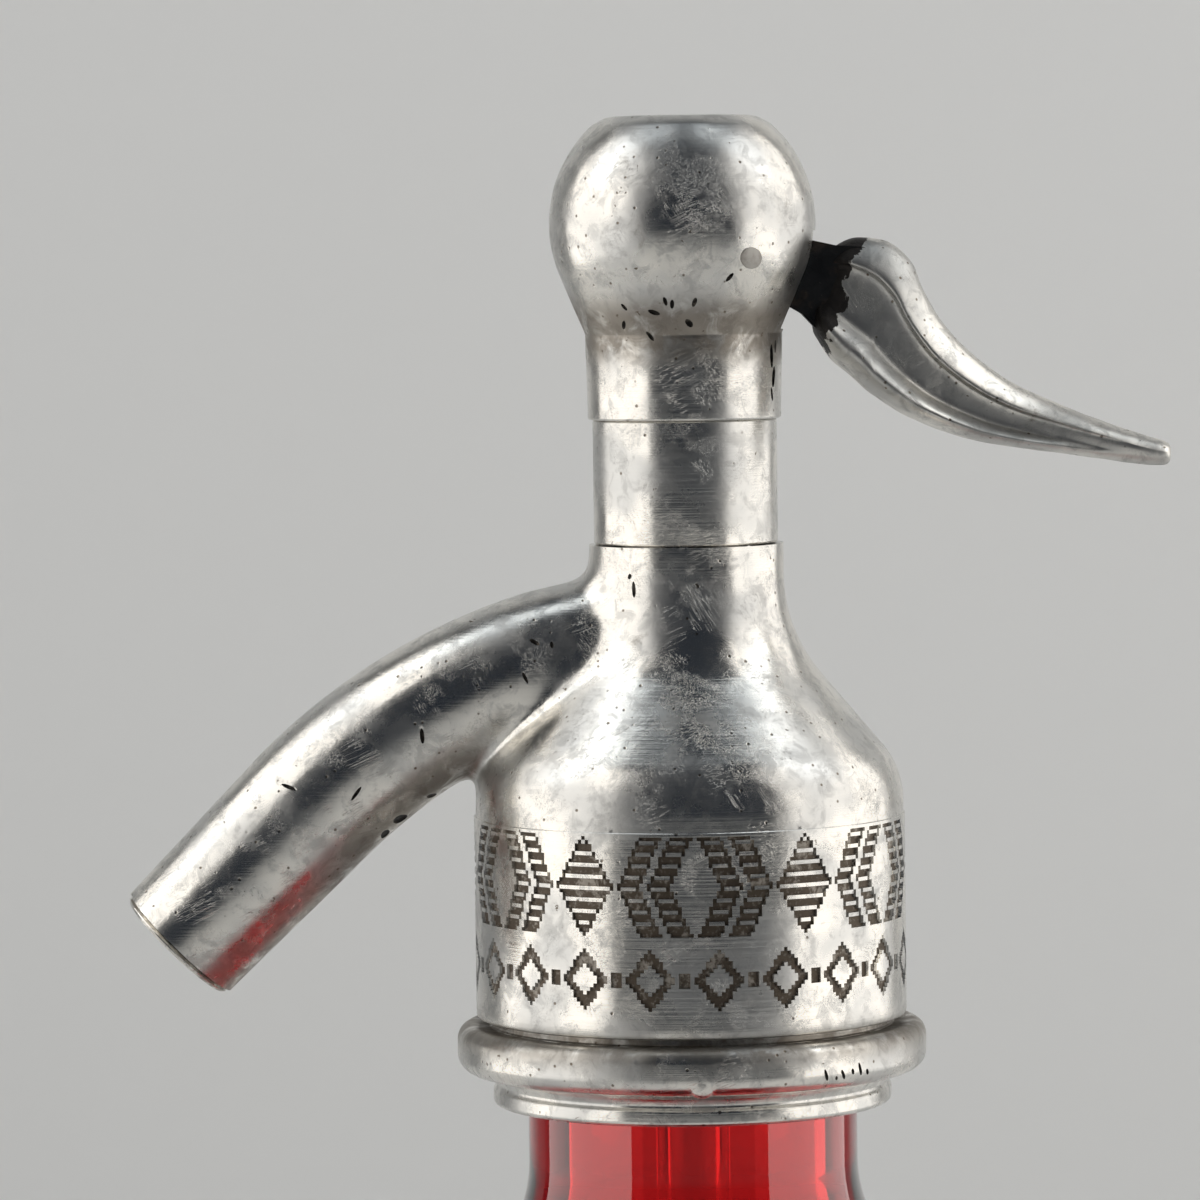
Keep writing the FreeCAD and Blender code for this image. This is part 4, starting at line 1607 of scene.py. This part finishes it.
@dataclass
class BallCap(Assembly):
    """Ball with a flat top, its skirt, slot and pin hole, dented by use."""

    skirt: float = 10.3
    skirt_height: float = 8.9
    flare: float = 0.2
    ball: float = 14.23
    centre_height: float = 20.7
    flat_ease: float = 1.3
    bore: float = 8.2
    bore_top: float = 28.0
    slot_bottom: float = 9.4
    slot_height: float = 10.4
    slot_width: float = 6.0
    pin: float = 1.1
    pin_reach: float = 7.0
    pin_height: float = 17.0
    dent_depth: float = 0.16
    dent_width: float = 4.5
    skirt_dents: float = 0.35
    facets: int = 192
    arc_steps: int = 52
    skirt_step: float = 0.7

    def outline(self) -> list[Point]:
        """Section from the middle of the flat top down the outside and up the bore.

        Returns:
            The points, in millimetres.
        """
        bottom, top = bottom_of("ball_cap"), top_of("ball_cap")
        centre = bottom + self.centre_height
        corner = self.skirt + self.flare
        drop = self.centre_height - self.skirt_height
        touch = math.acos(self.ball / math.hypot(corner, drop)) - math.atan2(drop, corner)
        rim = math.asin((top - centre) / self.ball)
        first = rim - self.flat_ease / self.ball
        arc = []
        for i in range(self.arc_steps + 1):
            angle = first + (touch - first) * i / self.arc_steps
            arc.append((self.ball * math.cos(angle), centre + self.ball * math.sin(angle)))
        flat = self.ball * math.cos(rim) - self.flat_ease * 0.9
        shoulder = [(flat, top), (flat + 0.62 * self.flat_ease, top - 0.12 * self.flat_ease)]
        skirt = eased([
            arc[-1], (corner, bottom + self.skirt_height, 1.2), (self.skirt, bottom, 0.3),
            (self.bore, bottom), (self.bore, bottom + self.bore_top), (0, bottom + self.bore_top)],
            closed=False)
        lines: list[Point] = []
        for first_point, next_point in zip(skirt, skirt[1:]):
            length = math.dist(first_point, next_point)
            rungs = max(1, round(length / self.skirt_step))
            outside = min(first_point[0], next_point[0]) > self.skirt - 0.2
            lines += ladder(first_point, next_point, rungs if outside else 1)
        return ladder((0, top), shoulder[0], 8) + shoulder + arc[:-1] + lines + [skirt[-1]]

    def build(self) -> None:
        """Turns the cap, dents it, cuts slot and pin hole and marks the skirt."""
        bottom = bottom_of("ball_cap")
        cap = turn_on_lathe("ball_cap_cast", self.outline(), self.facets, closed=False)
        group_by(cap, "ball", self._dent_weight)
        soften(cap, self.dent_depth, self.dent_width, "ball")
        clear()
        bpy.ops.mesh.primitive_cube_add(size=1)
        bpy.ops.transform.resize(
            value=(2 * self.ball * MM, self.slot_width * MM, self.slot_height * MM))
        middle = bottom + self.slot_bottom + self.slot_height / 2
        bpy.ops.transform.translate(value=(self.ball * MM, 0, middle * MM))
        slot = settle("slot")
        combine(cap, slot, exact=True)
        axis = (self.pin_reach * MM, 0, (bottom + self.pin_height) * MM)
        hole = cylinder("pin_hole", self.pin + 0.02, 4 * self.ball, axis, (math.pi / 2, 0, 0))
        combine(cap, hole, exact=True)
        cap.data.materials.append(self.finishes.ball)
        for gouge in self.gouges(bottom):
            gouge.carve(cap, self.finishes.gouge)
        smooth(cap, 40)
        dress(cap, Body.SIPHON, [self.finishes.ball, self.finishes.gouge], ["ball_cap"])

    def _dent_weight(self, place: Vector) -> float:
        """How much a place is dented: the ball is, the flat and the bore are not.

        Args:
            place: in millimetres.

        Returns:
            The share, from 0 to 1.
        """
        bottom = bottom_of("ball_cap")
        if place.xy.length < self.bore + 0.3 or place.z < bottom + 0.5:
            return 0.0
        return 1.0 if place.z > bottom + self.skirt_height else self.skirt_dents

    def gouges(self, bottom: float) -> list[Gouge]:
        """Gouges down the right of the skirt and tool marks under the ball.

        Args:
            bottom: lower end of the cap.

        Returns:
            The gouges.
        """
        side = self.skirt + 0.15
        rows = (
            (62, 6.6, side, 0.75, 2.6, 0.5, 5), (65, 4.4, side, 0.8, 2.4, 0.55, -8),
            (63, 2.6, side, 0.55, 1.7, 0.4, 12), (67, 7.6, side, 0.4, 1.4, 0.35, 0),
            (-9.5, 12.3, 12.05, 0.5, 1.9, 0.26, 12), (-6.5, 12.0, 11.9, 0.5, 2.1, 0.26, -4),
            (4.5, 12.1, 11.95, 0.55, 2.2, 0.26, -14), (-16, 11.4, 11.55, 0.6, 1.5, 0.26, 70),
            (2.5, 10.2, 11.0, 0.7, 1.6, 0.26, 30), (-32, 11.8, 11.8, 0.5, 1.5, 0.26, 35),
            (-36, 10.0, 10.95, 0.5, 1.6, 0.26, -20), (-20, 8.9, 10.6, 0.5, 1.4, 0.26, 40),
            (21, 14.9, 13.0, 0.5, 1.8, 0.26, -35))
        return [
            Gouge.turned(azimuth, bottom + height, radius, width=width, length=length, depth=depth,
                         lean=lean)
            for azimuth, height, radius, width, length, depth, lean in rows]


# ---- lever


Station = tuple[Vector, Vector, float]


@dataclass
class Lever(Assembly):
    """Black iron arm with the pewter horn cast over it."""

    pivot: tuple[float, float] = (7.0, 304.9)
    reach: float = 44.3
    width: float = 11.5
    rings_per_span: int = 5
    root_length: float = 13.0
    root_dents: float = 0.4
    dent_depth: float = 0.12
    dent_width: float = 2.4
    back_belly_width: tuple[tuple[Point, Point, float], ...] = (
        ((0.195, 0.018), (0.150, -0.150), 0.46), ((0.232, 0.040), (0.152, -0.178), 0.72),
        ((0.270, 0.047), (0.163, -0.200), 0.87), ((0.339, 0.036), (0.194, -0.248), 0.95),
        ((0.393, -0.014), (0.235, -0.282), 1.0), ((0.424, -0.088), (0.293, -0.334), 1.0),
        ((0.492, -0.192), (0.391, -0.395), 0.95), ((0.619, -0.298), (0.546, -0.449), 0.84),
        ((0.797, -0.381), (0.763, -0.483), 0.66), ((0.939, -0.433), (0.928, -0.508), 0.47),
        ((0.982, -0.446), (0.978, -0.512), 0.40), ((1.003, -0.456), (0.999, -0.510), 0.34),
        ((1.010, -0.466), (1.008, -0.502), 0.22))
    round_from: tuple[float, float] = (0.66, 0.92)
    crown_edge: tuple[float, float] = (0.56, 0.12)
    flange_edge: tuple[float, float] = (-0.42, -0.36)
    iron_edge: tuple[Point, ...] = (
        (-40.0, 6.5), (-8.0, 8.2), (-6.5, 9.3), (-4.9, 10.4), (-2.9, 10.1), (-0.1, 11.2),
        (2.2, 12.9), (5.0, 14.0))

    def flank(self, share_along: float) -> list[Point]:
        """Half section: round crown, flat web, and a flange along the belly.

        Args:
            share_along: 0 at the root of the horn and 1 at its tip.

        Returns:
            Points as shares of the half width and the half height.
        """
        crown = self.crown_edge[0] + (self.crown_edge[1] - self.crown_edge[0]) * share_along
        flange = self.flange_edge[0] + (self.flange_edge[1] - self.flange_edge[0]) * share_along
        top, low, gap = 1 - crown, 1 + flange, crown - flange
        return [
            (0.28, 1 - 0.05 * top), (0.48, 1 - 0.28 * top), (0.66, 1 - 0.62 * top), (0.82, crown),
            (0.68, crown - 0.05 * gap), (0.61, crown - 0.12 * gap), (0.60, crown - 0.50 * gap),
            (0.60, crown - 0.90 * gap), (0.66, flange), (0.84, flange - 0.20 * low),
            (1.0, flange - 0.42 * low), (0.96, flange - 0.62 * low), (0.72, flange - 0.83 * low),
            (0.36, flange - 0.97 * low)]

    def sections(self) -> list[list[Vector]]:
        """Rings of points across the horn, with rings between the stations on smooth curves.

        Returns:
            The rings, from the root to the tip.
        """
        x0, z0 = self.pivot
        foot = Vector((x0, 0, z0))
        stations = [
            (foot + Vector((back[0], 0, back[1])) * self.reach,
             foot + Vector((belly[0], 0, belly[1])) * self.reach, share)
            for back, belly, share in self.back_belly_width]
        rings = []
        last = len(stations) - 1
        for i in range(last):
            around = [stations[max(0, min(last, i + k))] for k in (-1, 0, 1, 2)]
            for step in range(self.rings_per_span):
                rings.append(self._between(around, step / self.rings_per_span))
        rings.append(stations[-1])
        return [self._ring(*ring, i / (len(rings) - 1)) for i, ring in enumerate(rings)]

    @staticmethod
    def _between(around: Sequence[Station], t: float) -> Station:
        """Smooth curve through four stations.

        Args:
            around: the four stations.
            t: share of the way between the middle two.

        Returns:
            The station on the curve.
        """
        weights = (
            -0.5 * t + t * t - 0.5 * t ** 3, 1 - 2.5 * t * t + 1.5 * t ** 3,
            0.5 * t + 2 * t * t - 1.5 * t ** 3, -0.5 * t * t + 0.5 * t ** 3)
        back = sum((s[0] * w for s, w in zip(around, weights)), Vector())
        belly = sum((s[1] * w for s, w in zip(around, weights)), Vector())
        return back, belly, sum(s[2] * w for s, w in zip(around, weights))

    def _ring(self, back: Vector, belly: Vector, share: float, along: float) -> list[Vector]:
        """Points across the horn: hollow flanks that fill out to a round tip.

        Args:
            back: highest point of the ring.
            belly: lowest point of the ring.
            share: width as a share of the horn's.
            along: 0 at the root of the horn and 1 at its tip.

        Returns:
            The points, in millimetres.
        """
        middle, rise = (back + belly) / 2, (back - belly) / 2
        half = share * self.width / 2
        start, end = self.round_from
        far = ((middle.x - self.pivot[0]) / self.reach - start) / (end - start)
        far = min(1.0, max(0.0, far))
        side = []
        for wide, tall in self.flank(along):
            wide += (math.sqrt(max(0.0, 1 - tall * tall)) - wide) * far
            side.append(middle + rise * tall + Vector((0, wide * half, 0)))
        other = [Vector((p.x, -p.y, p.z)) for p in reversed(side)]
        return [back, *side, belly, *other]

    def build(self) -> None:
        """Extrudes the horn ring by ring, rounds it and marks its iron root."""
        rings = self.sections()
        clear()
        bpy.ops.mesh.primitive_circle_add(vertices=len(rings[0]), radius=MM, fill_type="NGON")
        edit()
        pick_all()
        mesh = bmesh.from_edit_mesh(bpy.context.object.data)
        for vertex, place in zip(mesh.verts, rings[0]):
            vertex.co = place * MM
        for ring in rings[1:]:
            bpy.ops.mesh.extrude_region_move()
            mesh = bmesh.from_edit_mesh(bpy.context.object.data)
            chosen = [v for v in mesh.verts if v.select]
            for vertex, place in zip(chosen, ring):
                vertex.co = place * MM
        bmesh.update_edit_mesh(bpy.context.object.data)
        horn = close_up("lever_horn")
        apply_modifier(horn, "SUBSURF", levels=2, render_levels=2)
        self._mark_iron(horn)
        root = self.pivot[0] + self.root_length
        group_by(horn, "crown", lambda p: 1.0 if p.x > root else self.root_dents)
        soften(horn, self.dent_depth, self.dent_width, "crown")
        smooth(horn, 60)
        dress(horn, Body.LEVER, [self.finishes.horn], ["lever_grip"])

    def _mark_iron(self, horn: Piece) -> None:
        """Writes how far each place lies past the end of the bare iron, in millimetres.

        Args:
            horn: the rounded horn.
        """
        x0, z0 = self.pivot
        past = horn.data.attributes.new("past_iron", "FLOAT", "POINT")
        for vertex, value in zip(horn.data.vertices, past.data):
            place = vertex.co / MM
            level = place.z - z0
            for (low, x_low), (high, x_high) in zip(self.iron_edge, self.iron_edge[1:]):
                if low <= level < high:
                    edge = x_low + (x_high - x_low) * (level - low) / (high - low)
                    value.value = place.x - x0 - edge


# ---- valve works and other small parts


@dataclass
class ValveWorks(Assembly):
    """The round-wire spring, and the finish of each solid that shows as it is."""

    coil: float = 3.9
    wire: float = 0.475
    turns: int = 5
    lift: float = 1.5

    def build(self) -> None:
        """Coils the spring and dresses the small parts."""
        low, high = bottom_of("valve_spring"), top_of("valve_spring")
        clear()
        bpy.ops.mesh.primitive_circle_add(
            vertices=14, radius=self.wire * MM, rotation=(math.pi / 2, 0, 0),
            location=(self.coil * MM, 0, (low + self.wire) * MM))
        wire = settle("spring_coil")
        pitch = (high - low - 2 * self.wire) / self.turns
        apply_modifier(wire, "SCREW", axis="Z", angle=math.tau, screw_offset=pitch * MM,
                       iterations=self.turns, steps=32, render_steps=32, use_smooth_shade=True)
        hold(wire)
        edit()
        pick_all()
        bpy.ops.mesh.remove_doubles(threshold=0.001 * MM)
        bpy.ops.mesh.fill_holes(sides=20)
        bpy.ops.mesh.normals_make_consistent(inside=False)
        settle("spring_coil")
        dress(wire, Body.SIPHON, [self.finishes.steel], ["valve_spring"])
        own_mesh(wire)
        looks = {
            self.finishes.clear: ("dip_tube",),
            self.finishes.rubber: ("tube_seal", "mouth_gasket", "valve_washer"),
            self.finishes.brass: (
                "tube_holder", "valve_seat", "spring_guide", "spindle", "washer_retainer",
                "packing_washer", "lift_nut", "lock_nut", "split_ring_front", "split_ring_back"),
            self.finishes.leather: ("sleeve_washer", "packing_cup"),
            self.finishes.iron: ("lever_arm",), self.finishes.pin: ("lever_pin",),
            self.finishes.bell: ("nozzle_bush",)}
        for material, nodes in looks.items():
            for node in nodes:
                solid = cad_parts[node]
                for slot in solid.material_slots:
                    slot.material = material
                log.info("%s: %s", node, material.name)


# ---- studio and camera


@dataclass(frozen=True)
class SoftBox:
    """Flat lamp: where it hangs, its width and height, how bright its face is, and its tint."""

    name: str
    place: tuple[float, float, float]
    size: tuple[float, float]
    brightness: float
    tint: Colour = (1.0, 0.975, 0.94)
    aim: tuple[float, float, float] = (0.0, 0.0, 0.25)

    def build(self) -> None:
        """Hangs the lamp."""
        lamp = bpy.data.lights.new(self.name, "AREA")
        lamp.shape = "RECTANGLE"
        lamp.size, lamp.size_y = self.size
        lamp.energy = self.brightness * math.pi * self.size[0] * self.size[1]
        lamp.color = self.tint
        box = bpy.data.objects.new(self.name, lamp)
        bpy.context.scene.collection.objects.link(box)
        box.location = self.place
        way = Vector(self.aim) - Vector(self.place)
        box.rotation_euler = way.to_track_quat("-Z", "Z").to_euler()


@dataclass
class Studio:
    """Pale floor and backdrop, soft boxes on both sides and a dim room behind the camera."""

    floor_size: float = 8.0
    backdrop_size: float = 2.4
    backdrop_distance: float = 0.9
    boxes: tuple[SoftBox, ...] = (
        SoftBox("soft_box_left", (-0.80, -0.18, 0.66), (2.1, 1.3), 1.35, aim=(0, -0.18, 0.66)),
        SoftBox("soft_box_right", (0.80, 0.03, 0.66), (1.7, 1.3), 1.35, aim=(0, 0.03, 0.66)),
        SoftBox("sky_left", (-0.80, 0.0, 1.50), (1.6, 0.45), 1.2, (0.88, 0.95, 1.0)),
        SoftBox("sky_right", (0.80, 0.0, 1.50), (1.5, 0.45), 1.1, (0.88, 0.95, 1.0)))
    room: Colour = (0.022, 0.027, 0.036)

    def build(self) -> None:
        """Sets up floor, backdrop, lamps and room."""
        pale = Recipe("pale_floor")
        pale.set(Base_Color=pale.blend(pale.noise(90, 3), (0.80, 0.80, 0.79), (0.83, 0.83, 0.82)),
                 Roughness=0.7)
        floor = self._sheet("studio_floor", self.floor_size, pale.material)
        backdrop = self._sheet(
            "studio_backdrop", self.backdrop_size, self._one_sided(), rotation=(math.pi / 2, 0, 0),
            location=(0, self.backdrop_distance, self.backdrop_size / 2))
        for box in self.boxes:
            box.build()
        self._room()
        bpy.context.scene.view_settings.view_transform = "Standard"

    @staticmethod
    def _sheet(name: str, size: float, material: Material, **placing: object) -> Piece:
        """Lays or hangs a square sheet.

        Args:
            name: name of the sheet.
            size: its width, in metres.
            material: its material.
            placing: its location and rotation.

        Returns:
            The sheet.
        """
        clear()
        bpy.ops.mesh.primitive_plane_add(size=size, **placing)
        sheet = bpy.context.object
        sheet.name = name
        sheet.data.materials.append(material)
        return sheet

    @staticmethod
    def _one_sided() -> Material:
        """Pale cloth that can't be seen from behind.

        Returns:
            The material.
        """
        cloth = Recipe("pale_backdrop")
        cloth.set(Base_Color=(0.82, 0.82, 0.81), Roughness=0.7)
        behind = cloth.node("ShaderNodeNewGeometry").outputs["Backfacing"]
        mixed = cloth.node("ShaderNodeMixShader")
        cloth.feed(mixed.inputs[0], behind)
        cloth.feed(mixed.inputs[1], cloth.shader.outputs[0])
        cloth.feed(mixed.inputs[2], cloth.node("ShaderNodeBsdfTransparent").outputs[0])
        cloth.feed(cloth.output.inputs["Surface"], mixed.outputs[0])
        return cloth.material

    def _room(self) -> None:
        """Dim room around the floor, which metal reflects as its dark parts."""
        world = bpy.data.worlds.new("dim_room")
        bpy.context.scene.world = world
        world.use_nodes = True
        world.node_tree.nodes["Background"].inputs["Color"].default_value = (*self.room, 1)


@dataclass
class Viewpoint:
    """Camera level with the ball, looking at the head from its side."""

    aim: tuple[float, float, float] = (-9.24, 0.0, 268.67)
    eye_level: float = 307.0
    distance: float = 650.0
    focal: float = 183.24
    sensor: float = 36.0
    lean: float = 0.733

    def build(self) -> None:
        """Places the camera."""
        data = bpy.data.cameras.new("viewpoint")
        data.lens, data.sensor_width = self.focal, self.sensor
        camera = bpy.data.objects.new("viewpoint", data)
        bpy.context.scene.collection.objects.link(camera)
        aim = Vector(self.aim) * MM
        eye = Vector((self.aim[0], -self.distance, self.eye_level)) * MM
        camera.location = eye
        look = (aim - eye).to_track_quat("-Z", "Y")
        camera.rotation_euler = look.to_euler()
        camera.rotation_euler.rotate_axis("Z", math.radians(-self.lean))
        bpy.context.scene.camera = camera


def main() -> None:
    """Builds the siphon, its studio and the camera."""
    logging.basicConfig(level=logging.INFO, format="%(message)s")
    finishes = Finishes()
    for assembly in (Bottle, RingNut, HeadCasting, SpringSleeve, BallCap, Lever, ValveWorks):
        assembly(finishes).build()
    Studio().build()
    Viewpoint().build()


if __name__ == "__main__":
    main()
